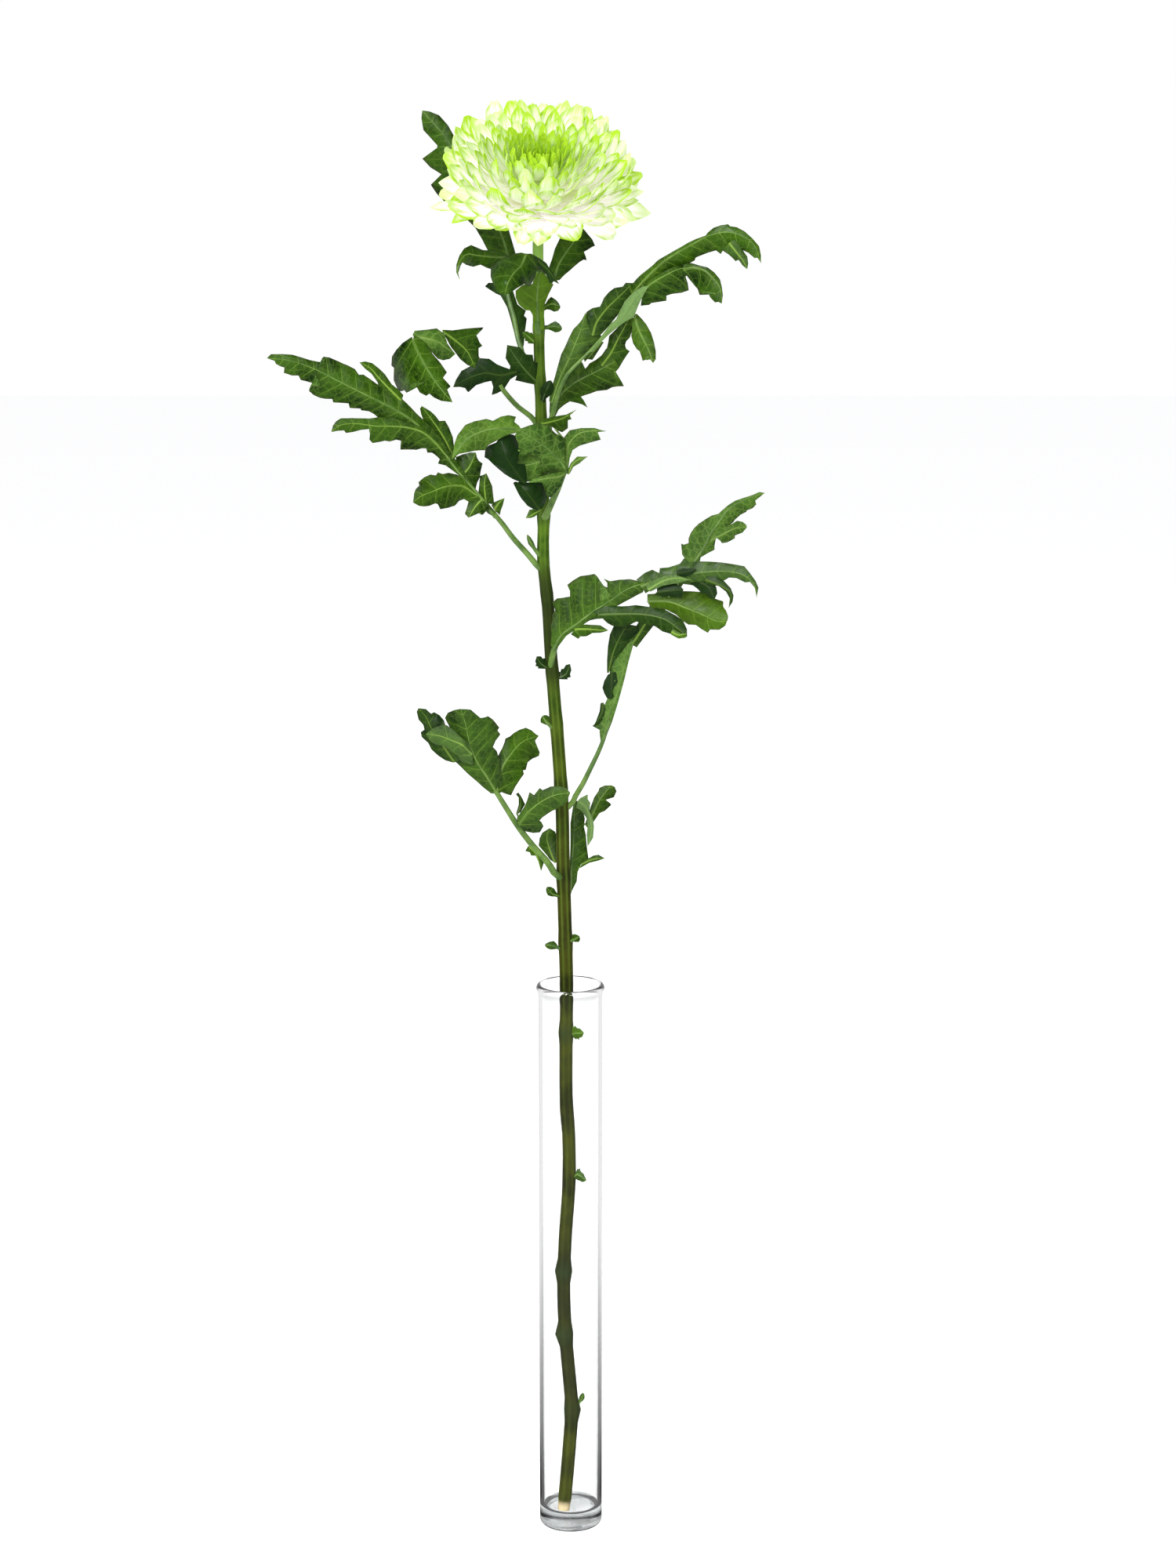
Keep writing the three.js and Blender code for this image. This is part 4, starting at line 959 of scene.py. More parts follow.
longRight = dict(  # long and partly folded, at the top right
    name="leaf_right_long", stalkRadius=(1.6, 0.6),
    stalk=[(-11.5, 5, 620), (-9.5, 3, 627.5), (-7.5, 1, 635.5), (-5, -1, 643), (-1.5, -2, 650), (4, -3, 656),
        (9.5, -4, 661.5), (16.5, -5.5, 669.5)],
    parts=[dict(
        lean=(0.2, 0.1), droop=1.5, rib=0.4, tone=-0.1, paleSheen=0.15,
        spine=[(-9.5, 0.5, 634), (-5.5, 0, 646.5), (-0.5, -1, 658), (3.5, -1.5, 667.5), (6.5, -2, 675.5),
            (8.5, -2.5, 683)],
        left=[(-11, 635.5), (-10.5, 640.5), (-8, 648), (-6, 655.5), (-4.5, 660.5), (-2.5, 664.5),
            (-0.5, 669), (2, 674), (4.5, 676.5), (6.5, 679)],
        right=[(-6, 638.5), (-2, 649), (4, 655), (9.5, 661), (14.5, 666.5), (17, 670), (14.5, 672.5),
            (11.5, 674), (9.5, 677.5)],
    ), dict(
        lean=(0.2, 0.1), droop=2, tone=0.4,
        spine=[(12, -2, 670.5), (14.5, -2.5, 678), (20, -4.5, 685.5), (26, -7, 691.5), (33.5, -10, 699)],
        left=[(9.5, 672.5), (8, 679), (9, 683), (12, 685), (16, 686), (17, 688), (18, 690.5), (20.5, 693.5),
            (23.5, 696), (28, 697), (29.5, 699)],
        right=[(15.5, 670), (18, 672.5), (21.5, 676.5), (25, 681), (28.5, 685.5), (31.5, 690.5),
            (34.5, 694.5), (36, 697)],
    ), dict(
        lean=(0.3, 0.2), droop=2.5, rib=0.4, tone=0.05, gloss=0.5,
        spine=[(33, -10, 693), (40.5, -13, 702), (50.5, -17, 711.5), (63, -22, 719.5), (73, -26, 725),
            (82, -29, 727), (90, -31, 725), (96, -32.5, 720.5), (99.5, -33.5, 711.5)],
        left=[(28.5, 697), (33, 698.5), (35, 701), (37.5, 703.5), (40.5, 706), (43.5, 708.5), (46.5, 711.5),
            (50.5, 714), (58, 718.5), (62, 721), (66, 723), (71, 725), (72, 726.5), (75, 729), (79, 730.5),
            (82.5, 731), (83.5, 730), (87, 729.5), (91, 727.5), (95, 724), (98.5, 720), (99.5, 715.5)],
        right=[(35.5, 691), (39.5, 696.5), (46, 700.5), (53, 704.5), (60, 707.5), (63, 710), (65.5, 711.5),
            (66, 713), (69.5, 714.5), (73, 716), (76.5, 717), (79, 715), (80, 717), (83, 715), (85.5, 713),
            (88.5, 717), (90.5, 717.5), (93, 716.5), (96, 714), (97, 715)],
    ), dict(
        lean=(0.1, 0.2), droop=1, tone=0.25,
        spine=[(83, -29.5, 721.5), (87, -30.5, 716.5), (90.5, -31.5, 712), (92.5, -32, 708)],
        left=[(85.5, 723.5), (90, 718), (92.5, 714.5), (93, 711)],
        right=[(80, 718), (84, 714.5), (86.5, 712), (87.5, 713.5), (90, 710)],
    ), dict(
        lean=(0.1, 0.3), droop=2, rib=0.35, tone=0.15,
        spine=[(38.5, -13, 695.5), (43.5, -15, 699.5), (50, -17.5, 703.5), (55.5, -19.5, 706.5),
            (60.5, -21.5, 708)],
        left=[(38.5, 698), (43.5, 702), (50, 706), (55.5, 708.5)],
        right=[(37.5, 687), (42, 687.5), (43, 688.5), (47, 689), (51, 689.5), (51, 692.5), (54, 693.5),
            (59, 694), (62.5, 695.5), (62, 698.5), (60, 701.5), (61.5, 704.5)],
    ), dict(
        lean=(0.3, 0.2), droop=2.5, rib=0.3, tone=0.25, gloss=0.3,
        spine=[(59.5, -21.5, 707), (64.5, -23.5, 708), (70, -25.5, 707), (74.5, -27.5, 703.5),
            (78.5, -29, 698), (79.5, -29.5, 690)],
        left=[(59.5, 709.5), (63.5, 710.5), (67.5, 709.5), (72, 708.5), (75.5, 706), (78.5, 702.5),
            (79.5, 698.5), (80, 694.5)],
        right=[(59.5, 704.5), (61.5, 703.5), (63, 701.5), (65.5, 698.5), (67, 697), (68, 694), (70.5, 697),
            (72, 696), (73.5, 693), (76, 690.5), (77.5, 691)],
    ), dict(
        lean=(0.25, 0.25), droop=1, rib=0.3, paleSheen=0.5, under=1,
        spine=[(10.5, -5.5, 662), (17, -7, 669.5), (24, -9.5, 677), (30.5, -12, 684), (35, -14, 691.5),
            (41.5, -16.5, 698)],
        left=[(9.5, 662.5), (14.5, 667.5), (16.5, 670.5), (19, 674), (21.5, 677.5), (24.5, 680),
            (26.5, 684.5), (29, 689.5), (32, 693), (35, 695.5), (38, 697.5)],
        right=[(12.5, 662.5), (17, 668), (20.5, 671.5), (24.5, 675), (29, 678.5), (33.5, 681), (34.5, 683),
            (36, 687), (37.5, 690.5), (39.5, 694.5)],
    ), dict(
        lean=(0.2, 0.2), droop=2, rib=0.3, tone=-0.15,
        spine=[(34, -7, 682.5), (36, -8, 675.5), (39, -9, 669), (42, -10, 663), (44, -11, 657)],
        left=[(31.5, 681), (33, 675.5), (32.5, 671), (33.5, 667), (35.5, 664), (37, 663), (38, 660),
            (38.5, 658), (40, 659.5), (41, 660.5), (42.5, 659)],
        right=[(35.5, 682.5), (38, 680), (40.5, 677), (43, 672.5), (44.5, 668), (45.5, 663), (45.5, 659)],
    ), dict(
        lean=(0.2, 0.2), droop=1, tone=0.4,
        spine=[(17, -2.5, 667.5), (13, -1.5, 662.5), (8, -0.5, 656.5)],
        left=[(14, 665.5), (10.5, 662.5), (7, 659)],
        right=[(18, 667), (15.5, 663), (13, 659), (12, 657.5), (9.5, 658)],
    )],
)
yellowishRight = dict(  # below the long one on the right
    name="leaf_right_yellowish", stalkRadius=(1.5, 1.2),
    stalk=[(-11.5, 8, 616), (-10.5, 6, 623), (-9.5, 5, 629)],
    parts=[dict(
        lean=(0.2, 0.15), droop=1.5, rib=0.5, tone=-0.1,
        spine=[(-10, 7, 626), (-6, 9.5, 636), (0.5, 13, 642.5), (7.5, 14.5, 646.5), (14.5, 13.5, 650),
            (24.5, 12.5, 655.5)],
        left=[(-11, 629), (-10.5, 637.5), (-8, 643.5), (-3, 647.5), (3, 653), (6, 655), (6.5, 652),
            (7.5, 650.5), (9, 652), (10.5, 654), (14, 656), (17, 658.5), (19.5, 662)],
        right=[(-8, 626), (-6, 630), (-3, 632.5), (0, 634), (3.5, 633), (6.5, 632), (9.5, 630), (7.5, 634),
            (5.5, 636), (10.5, 637.5), (14.5, 639), (20, 639.5), (22.5, 641), (25.5, 641.5), (29, 641.5),
            (27.5, 644.5), (23.5, 646.5), (24, 649), (26.5, 652)],
    ), dict(
        lean=(0.1, 0.2), droop=1.5, tone=0.15,
        spine=[(17, 13, 653), (22, 12.5, 660), (25.5, 12, 667), (29, 11.5, 673.5), (32, 11.5, 679)],
        left=[(14.5, 655.5), (17, 658.5), (19.5, 661.5), (20.5, 665.5), (21, 669), (24.5, 672.5),
            (28.5, 676.5)],
        right=[(23.5, 647.5), (24.5, 649.5), (26.5, 652), (28.5, 655.5), (30.5, 658.5), (32, 660.5),
            (30, 662), (29.5, 664), (30, 666), (32, 668), (33, 671), (33.5, 676)],
    )],
)
underFlower = dict(  # behind the stem, right under the flower
    name="leaf_under_flower_back", stalkRadius=(1.4, 1),
    stalk=[(-14.5, 7, 689.5), (-11, 12, 696), (-8, 17, 701)],
    parts=[dict(
        lean=(0.2, 0.2), droop=1.5, rib=0.5, tone=0.03,
        spine=[(-8.5, 18, 698.5), (-6, 20.5, 706), (-2, 26, 712), (2, 29, 717.5), (6.5, 31, 725)],
        left=[(-11, 701), (-11, 705), (-9.5, 709), (-8, 714), (-6, 718), (-4.5, 721), (-2, 720), (2, 723.5)],
        right=[(-5.5, 698), (-3, 700.5), (1.5, 704), (5.5, 707), (7.5, 708), (9, 707.5), (8.5, 709.5),
            (7.5, 712), (9.5, 713), (12, 714.5), (13.5, 715), (12, 718.5), (9.5, 721.5), (8, 723.5)],
    )],
)
archingRight = dict(  # arches over to the right, in the middle
    name="leaf_right_arching", stalkRadius=(1.9, 1.5),
    stalk=[(-10.5, 13, 489), (-9.5, 9, 496.5), (-7, 4, 505)],
    parts=[dict(
        lean=(0.15, 0.2), droop=1.5, rib=0.7, tone=-0.12, paleSheen=0.12,
        spine=[(-9, 3, 501), (-4.5, 2, 509), (3.5, -1, 515.5), (12.5, -4.5, 523), (22.5, -8, 530),
            (30.5, -10.5, 536), (40, -13.5, 540)],
        left=[(-10.5, 503), (-10, 510), (-10.5, 513.5), (-9.5, 516.5), (-9.5, 519.5), (-8, 522), (-9.5, 526),
            (-7, 528.5), (-4, 529), (0, 530), (0, 533), (-1.5, 536), (1.5, 538.5), (5.5, 541), (9.5, 542),
            (13, 543), (14.5, 542), (15.5, 538), (16, 534), (16, 529.5), (18, 530), (20, 532), (19.5, 535.5),
            (18.5, 537), (20, 536.5), (20, 539), (18, 541), (21.5, 540), (26.5, 541), (32, 541.5),
            (35.5, 541)],
        right=[(-7, 501.5), (-2, 508.5), (5.5, 514), (13, 519.5), (19, 523.5), (26.5, 527), (33, 531),
            (39, 534.5)],
    ), dict(
        lean=(0.2, 0.2), droop=1, tone=0.1,
        spine=[(2.5, 0, 512.5), (9, -2.5, 513), (14, -4.5, 513), (20.5, -7, 513)],
        left=[(4, 515), (9, 515.5), (12.5, 515.5), (16.5, 515.5)],
        right=[(0.5, 509.5), (4.5, 507), (5.5, 508.5), (9, 509), (12, 511), (16.5, 511.5)],
    ), dict(
        lean=(0.3, 0.3), droop=3, rib=0.25, tone=0.5,
        spine=[(15.5, -6.5, 521.5), (26.5, -10, 522.5), (39, -14, 523), (50.5, -17.5, 521), (58, -19.5, 516),
            (62.5, -20.5, 512)],
        left=[(12, 523), (20, 526.5), (27.5, 526.5), (35, 527.5), (43, 527), (51.5, 525.5), (56.5, 523),
            (60.5, 520), (62.5, 516)],
        right=[(9.5, 517.5), (14, 519), (17.5, 519.5), (20, 517), (22.5, 515.5), (26.5, 514), (30.5, 515.5),
            (35.5, 518.5), (40.5, 517.5), (45.5, 516.5), (49.5, 514), (53.5, 513), (58, 512.5)],
    ), dict(
        lean=(0.2, 0.2), droop=1, tone=-0.3,
        spine=[(54, -19.5, 514.5), (58, -20.5, 513), (62.5, -21.5, 514)],
        left=[(55, 516), (59, 514)],
        right=[(54, 513), (58, 511), (61.5, 511.5)],
    ), dict(
        lean=(0.2, 0.3), droop=2, rib=0.35, tone=-0.3,
        spine=[(41.5, -6, 528.5), (52.5, -9, 529), (62, -11, 526), (71.5, -13.5, 522.5), (78.5, -15, 519.5),
            (84, -16.5, 520)],
        left=[(41.5, 532.5), (51, 533.5), (60, 534.5), (66.5, 534.5), (72.5, 534), (77.5, 531), (82, 529.5),
            (81.5, 527.5), (83.5, 525), (84.5, 522.5)],
        right=[(43.5, 525), (51.5, 524.5), (56.5, 522), (60.5, 518.5), (63.5, 516.5), (67.5, 516.5),
            (70.5, 514.5), (74, 512.5), (74.5, 514.5), (80, 514.5), (83, 517)],
    ), dict(
        lean=(0.3, 0.3), droop=2.5, rib=0.35, tone=0.2, gloss=0.4, paleSheen=0.2,
        spine=[(38, -13, 538), (49.5, -16, 542.5), (59.5, -18.5, 545), (71, -21.5, 547), (82.5, -24.5, 548),
            (92, -27.5, 546.5), (97.5, -29.5, 541.5), (99, -30, 535)],
        left=[(35.5, 541.5), (40, 545), (44, 547), (47.5, 545.5), (48, 548), (52.5, 548.5), (59, 551),
            (68, 552.5), (80.5, 552.5), (92.5, 551), (95.5, 547.5), (98.5, 543.5), (100, 540)],
        right=[(40.5, 534), (45, 537), (51.5, 539.5), (60, 540), (66, 539), (70, 537.5), (74.5, 538.5),
            (78.5, 541.5), (82.5, 543), (84.5, 544.5), (88.5, 544.5), (93, 542.5), (95.5, 543), (98, 540)],
    ), dict(
        lean=(0.2, 0.2), droop=1, tone=0.1, paleSheen=0.3, under=1,
        spine=[(41.5, -15.5, 536.5), (49.5, -17.5, 541.5), (56.5, -19.5, 543.5), (64, -21.5, 543)],
        left=[(40.5, 539), (46.5, 543), (52, 545), (59, 544.5)],
        right=[(43, 535.5), (49.5, 539), (56.5, 540.5)],
    ), dict(
        lean=(0.2, 0.2), droop=1, tone=0.85,
        spine=[(57, -19, 546), (62, -20.5, 547), (67, -21.5, 548.5)],
        left=[(56.5, 547.5), (60.5, 549), (67, 549)],
        right=[(57, 544.5), (62, 544.5), (65.5, 546)],
    ), dict(
        lean=(0.3, 0.3), droop=3, tone=0.8,
        spine=[(69.5, -20, 541.5), (74, -21, 538.5), (77, -22, 532.5)],
        left=[(73, 544), (76.5, 542), (78, 538.5), (78.5, 535.5)],
        right=[(64, 540.5), (68, 537.5), (70.5, 535), (72, 535.5), (74.5, 533)],
    ), dict(
        lean=(0.2, 0.4), droop=3, tone=0.6, gloss=0.4,
        spine=[(72, -22, 543), (80.5, -24, 540), (85.5, -25, 536), (84.5, -24.5, 528.5)],
        left=[(74, 546), (81.5, 543), (85.5, 539), (87, 535), (86.5, 531.5)],
        right=[(72, 540.5), (79, 540), (83, 537), (85, 533.5)],
    ), dict(
        lean=(0.3, 0.3), droop=3, tone=0.75,
        spine=[(46.5, -13.5, 535), (53.5, -15, 536), (60.5, -17, 537)],
        left=[(46.5, 538), (51.5, 539), (58, 540)],
        right=[(45.5, 534), (49.5, 532.5), (55.5, 532.5), (60, 532.5)],
    )],
)
longestRight = dict(  # rises from low on the stem, behind the arching one
    name="leaf_right_longest", stalkRadius=(1.6, 1),
    stalk=[(0.5, 15, 412.5), (3.5, 13, 419), (6.5, 12, 424), (11.5, 11, 434.5), (15.5, 11, 443),
        (18.5, 10.5, 451), (21.5, 10, 461)],
    parts=[dict(
        lean=(0.2, 0.2), droop=1, rib=0.5, paleSheen=0.15, under=1,
        spine=[(17.5, 10.5, 448.5), (21, 10, 462), (25.5, 9, 475.5), (28.5, 8.5, 486.5), (31, 8, 496),
            (35, 7, 506)],
        left=[(16.5, 449), (16, 453.5), (16, 455), (12, 457), (15, 459.5), (16.5, 463.5), (18, 467.5),
            (20, 472), (21, 476.5), (21.5, 484), (21.5, 491.5), (24, 495), (27.5, 498), (31, 503)],
        right=[(18.5, 448.5), (23, 460), (26.5, 472), (29.5, 483.5), (31.5, 492.5), (33.5, 500)],
    ), dict(
        lean=(0.2, 0.2), droop=1.5, tone=0.6,
        spine=[(21, 8.5, 487), (23, 8.5, 497), (26.5, 7.5, 506), (31, 6.5, 514)],
        left=[(20, 487), (20, 494), (20.5, 501.5), (21.5, 508), (24, 513.5)],
        right=[(22.5, 490.5), (24, 494), (26.5, 496.5), (30, 500), (33, 503.5), (35.5, 505), (38, 505),
            (38, 509), (37, 512.5)],
    ), dict(
        lean=(0.2, 0.2), droop=1, tone=0.8,
        spine=[(22.5, 8.5, 487), (22.5, 8.5, 480), (22, 8.5, 472.5)],
        left=[(20.5, 486), (18.5, 482.5), (17.5, 478.5), (18.5, 475.5), (20, 473)],
        right=[(24.5, 487.5), (26.5, 486), (26, 482), (23.5, 478.5), (22.5, 476.5), (24, 474)],
    ), dict(
        lean=(0.2, 0.2), droop=1, tone=0.7,
        spine=[(18, 9.5, 470.5), (17, 9.5, 464), (12.5, 10, 457)],
        left=[(16.5, 470), (16, 465.5), (14, 460)],
        right=[(18.5, 469.5), (19, 466.5), (18, 462), (16, 458.5)],
    ), dict(
        lean=(0.1, 0.1), droop=1, tone=0.3,
        spine=[(33.5, 8.5, 502.5), (42.5, 9, 516.5), (53, 10.5, 530.5), (66.5, 13, 549)],
        left=[(31, 505.5), (39.5, 518.5), (50, 533.5), (61.5, 549)],
        right=[(36, 501), (46, 514), (56.5, 528), (70, 549)],
    ), dict(
        lean=(0.2, 0.25), droop=1.5, rib=0.45, tone=-0.1, under=1,
        spine=[(66.5, 12, 546.5), (72, 13, 554.5), (75.5, 13.5, 561.5), (80.5, 14, 569), (85.5, 15, 575.5),
            (94, 16, 580.5), (105, 17.5, 584)],
        left=[(63, 547.5), (60.5, 551), (60, 556.5), (61.5, 556), (64, 557), (64, 559.5), (65, 562),
            (67, 565), (69.5, 567.5), (73, 570), (76.5, 572), (80, 573), (81.5, 574.5), (85, 577.5),
            (89, 580), (93.5, 581.5), (98.5, 583), (102, 584.5)],
        right=[(70, 546.5), (70.5, 549.5), (74, 551.5), (78, 553.5), (78, 555.5), (78.5, 558.5), (79, 560),
            (80.5, 563.5), (85, 566), (88, 568), (89, 569.5), (92, 572), (95, 573.5), (95.5, 574.5),
            (98.5, 575.5), (100.5, 577.5), (99, 579), (102, 581.5)],
    ), dict(
        lean=(0.2, 0.2), droop=1, rib=0.2, tone=-0.1, under=1,
        spine=[(75.5, 13, 558.5), (82.5, 14, 562), (89, 15, 565), (95.5, 16, 565.5)],
        left=[(76.5, 563.5), (82.5, 566), (87.5, 567.5), (90, 569), (93, 568.5), (95, 567)],
        right=[(76.5, 555.5), (79, 560), (81, 558.5), (82, 557), (85, 557.5), (89, 559.5), (89, 561),
            (93, 562.5)],
    )],
)
lowLeft = dict(  # lower left
    name="leaf_left_low", stalkRadius=(2, 1.4),
    stalk=[(-8.5, 9, 375), (-12.5, 7, 382), (-20.5, 4, 392), (-28, 0, 403), (-34.5, -6, 415),
        (-40.5, -10, 426)],
    parts=[dict(
        lean=(0.2, 0.1), droop=1, tone=0.5,
        spine=[(-62, -20.5, 443.5), (-68, -21, 452.5), (-73.5, -21.5, 461), (-77, -21.5, 468.5),
            (-81, -22, 473.5)],
        left=[(-63, 443.5), (-67, 444.5), (-70.5, 447), (-74.5, 450.5), (-76, 454), (-79.5, 457.5),
            (-80, 460), (-78, 461.5), (-78.5, 464), (-81, 467), (-82, 471.5)],
        right=[(-59.5, 444.5), (-62.5, 452.5), (-64.5, 458.5), (-66.5, 463.5), (-67.5, 466.5), (-70, 469.5),
            (-72.5, 471), (-73, 469.5), (-75, 471), (-77, 473)],
    ), dict(
        lean=(0.25, 0.2), droop=1.5, rib=0.5, tone=-0.03, paleSheen=0.12,
        spine=[(-39.5, -10, 424), (-44.5, -13, 433.5), (-49.5, -16, 442), (-53, -18.5, 450.5),
            (-55, -20, 459.5), (-56.5, -21.5, 467), (-58.5, -22, 473)],
        left=[(-43, 424), (-51.5, 432), (-58, 438.5), (-62, 442.5), (-63, 447.5), (-63.5, 453),
            (-62.5, 458.5), (-64.5, 462), (-66, 465), (-67, 467.5), (-65.5, 470.5), (-62.5, 472)],
        right=[(-36, 425), (-37, 434.5), (-37.5, 442), (-39.5, 448), (-41.5, 450.5), (-40, 454),
            (-37.5, 457), (-39, 459.5), (-38, 461), (-40, 464), (-41.5, 466), (-44, 468), (-46, 467.5),
            (-48, 467.5), (-50, 469.5), (-53, 472.5)],
    ), dict(
        lean=(0.3, 0.1), droop=1.5, rib=0.2, paleSheen=0.25,
        spine=[(-52.5, -19.5, 448), (-57.5, -23, 453.5), (-64, -23.5, 456.5), (-70, -24.5, 459),
            (-77, -25, 460)],
        left=[(-52, 441), (-57, 442.5), (-60.5, 445), (-63.5, 449.5), (-67.5, 453), (-72, 453.5),
            (-75, 456)],
        right=[(-54, 454), (-58.5, 458), (-62.5, 462), (-66, 464.5), (-69, 464.5), (-73.5, 463)],
    ), dict(
        lean=(0.15, 0.25), droop=1.5, rib=0.35, tone=-0.12,
        spine=[(-39.5, -10.5, 426), (-37, -9, 437), (-32, -6, 445), (-25.5, -1, 451), (-17, 4.5, 453)],
        left=[(-41, 429.5), (-40.5, 438), (-38.5, 445), (-36.5, 448.5), (-35.5, 451), (-35, 453),
            (-32.5, 454), (-30.5, 455.5), (-27.5, 457), (-24, 458), (-21, 456.5), (-18.5, 454)],
        right=[(-32, 422.5), (-29.5, 427.5), (-26.5, 431.5), (-25, 433.5), (-25.5, 435.5), (-24, 435.5),
            (-23, 439.5), (-21.5, 440.5), (-19, 440.5), (-17, 441.5), (-16.5, 443.5), (-18.5, 445.5),
            (-21.5, 447), (-20, 449)],
    ), dict(
        lean=(0.1, 0.3), droop=1.5, rib=0.3, tone=0.05, paleSheen=0.15,
        spine=[(-28, -4, 405.5), (-22, -6, 413.5), (-15, -8, 419.5), (-7.5, -8, 423), (0, -8, 424)],
        left=[(-29, 409), (-25, 415.5), (-23.5, 419), (-22, 424), (-19.5, 422.5), (-16.5, 426.5),
            (-15, 425.5), (-10.5, 427.5), (-5.5, 427.5), (-2, 426.5)],
        right=[(-25, 401.5), (-20, 400), (-16.5, 400), (-14.5, 403.5), (-15.5, 406), (-17, 407),
            (-15, 409.5), (-9.5, 413.5), (-5, 415.5), (-2, 418)],
    ), dict(
        lean=(0.2, 0.2), droop=1, tone=0.6,
        spine=[(-28.5, 0, 410.5), (-27, 1, 416), (-28, 0, 422.5)],
        left=[(-29.5, 410.5), (-28, 415.5), (-28, 419.5), (-29.5, 421.5)],
        right=[(-27, 411.5), (-24.5, 415.5), (-26, 419)],
    ), dict(
        lean=(0.2, 0.2), droop=1, tone=0.15,
        spine=[(-22, 2.5, 391.5), (-18.5, 5, 386.5), (-16, 6, 377)],
        left=[(-23, 392), (-24.5, 389), (-22, 388), (-21.5, 386), (-19, 386), (-17.5, 382.5)],
        right=[(-19.5, 391), (-16.5, 386.5), (-14.5, 381.5)],
    )],
)
lowBack = dict(  # behind the stem, at the bottom of the leafy part
    name="leaf_low_back", stalkRadius=(1.3, 1),
    stalk=[(-3, 15, 357), (-0.5, 17, 362.5), (0, 19, 369)],
    parts=[dict(
        lean=(0.1, 0.2), droop=1, rib=0.6,
        spine=[(0, 17, 362.5), (0.5, 21, 374), (1.5, 25, 386.5), (2, 29, 399), (2, 33.5, 411)],
        left=[(-1.5, 365), (-0.5, 374), (0, 386.5), (0, 399)],
        right=[(1, 363.5), (3.5, 368), (4, 373), (6, 377), (9.5, 379), (10, 379.5), (9.5, 383), (9, 386.5),
            (8.5, 392.5), (7.5, 396.5), (8, 401), (6.5, 406.5), (4.5, 410)],
    ), dict(
        lean=(0.2, 0.2), droop=1, tone=0.2,
        spine=[(6, 21, 377.5), (12.5, 22, 380), (19, 22, 380.5)],
        left=[(9, 380), (12.5, 382), (15.5, 382.5)],
        right=[(6, 375.5), (10.5, 378), (15, 379)],
    ), dict(
        lean=(0.2, 0.2), droop=1, rib=0.3, tone=-0.15,
        spine=[(9.5, 29, 396), (12.5, 31.5, 403.5), (16.5, 34.5, 411), (22.5, 36.5, 418.5)],
        left=[(8, 398), (9.5, 402.5), (11.5, 408), (13, 412), (15.5, 415.5), (16, 417), (19, 418.5)],
        right=[(10.5, 397), (13, 399.5), (16, 403.5), (19, 404.5), (22.5, 407.5), (22, 408.5), (19.5, 410.5),
            (24, 411.5), (25.5, 415), (24.5, 417.5)],
    ), dict(
        lean=(0.2, 0.2), droop=1, paleSheen=0.5, under=1,
        spine=[(4, 31, 411), (8.5, 30, 407.5), (11, 27.5, 401), (11.5, 25.5, 394.5), (9.5, 23, 387)],
        left=[(5.5, 412.5), (9.5, 414.5), (9.5, 412), (11, 410), (10.5, 405.5), (12.5, 401.5), (13, 397.5),
            (12.5, 391.5)],
        right=[(3, 407), (6, 405.5), (9, 401.5), (9.5, 397.5), (9, 393)],
    ), dict(
        lean=(0.2, 0.1), droop=1, tone=-0.1,
        spine=[(-8.5, 21, 378), (-11, 23, 384), (-13, 25, 391), (-11.5, 27, 396.5)],
        left=[(-11, 380), (-14.5, 383.5), (-17.5, 387), (-17, 391), (-15.5, 394)],
        right=[(-7, 379), (-7, 384.5), (-7, 391), (-8.5, 394.5)],
    )],
)
leaves = [
    curledLeft, domedFront, behindFlower, frontCentre, longLeft, longRight, yellowishRight, underFlower,
    archingRight, longestRight, lowLeft, lowBack,
]

for leaf in leaves:
    growLeaf(leaf)
print("leaves grown")

# Each grows from the stem at the height of its node, over its middle, to its tip.
smallLeaves = dict(
    leaflet_neck_right=dict(node=674, middle=(-8.5, 2, 675), tip=(-4, 1, 674), width=3, tone=0.35),
    leaflet_neck_upper=dict(node=684, middle=(-10, 1, 687), tip=(-5, -1, 686), width=4),
    leaflet_neck_left=dict(node=666, middle=(-21.5, 4, 669), tip=(-25, 3, 672), width=3, toothed=1),
    leaflet_toothed_left=dict(
        node=645, middle=(-25, -2, 654), tip=(-33, -6, 666), width=8, tone=0.6, toothed=1),
    stipule_dark_right=dict(node=634, middle=(-13, -1, 640), tip=(-10, -3, 647), width=3.5, tone=0.8),
    stub_petiole_left=dict(node=551, middle=(-20.5, 8, 557), tip=(-23, 6, 563), width=1.5, rib=1.3),
    stipule_middle_left=dict(
        node=489, middle=(-16, 10, 492), tip=(-18, 8, 496), width=3.5, tone=0.7, toothed=1),
    stipule_middle_right=dict(
        node=483, middle=(-2.5, 14, 485), tip=(0, 13, 491), width=3.5, tone=0.7, toothed=1),
    bud_left=dict(node=456, middle=(-13.5, 11, 460), tip=(-15, 10, 463), width=2.8, rib=1.2),
    stipule_low_left=dict(node=361, middle=(-10, 8, 364), tip=(-13, 6, 368), width=2.6),
    stub_above_rim_left=dict(node=332, middle=(-9, 9, 334), tip=(-14, 8, 335), width=2.6, rib=0.9),
    stub_above_rim_right=dict(node=336, middle=(2.5, 9, 338), tip=(5, 7, 340), width=2.8, rib=0.9),
    scrap_in_vase_upper=dict(
        node=284, middle=(3, 6.5, 285), tip=(7.5, 4, 286), width=4.4, tone=-0.3, toothed=1),
    scrap_in_vase_middle=dict(node=202, middle=(4, 5, 204), tip=(9, 3, 201), width=4, toothed=1),
    scrap_in_vase_low=dict(node=71, middle=(6, -4, 75), tip=(7, -4.5, 79), width=1.6),
)
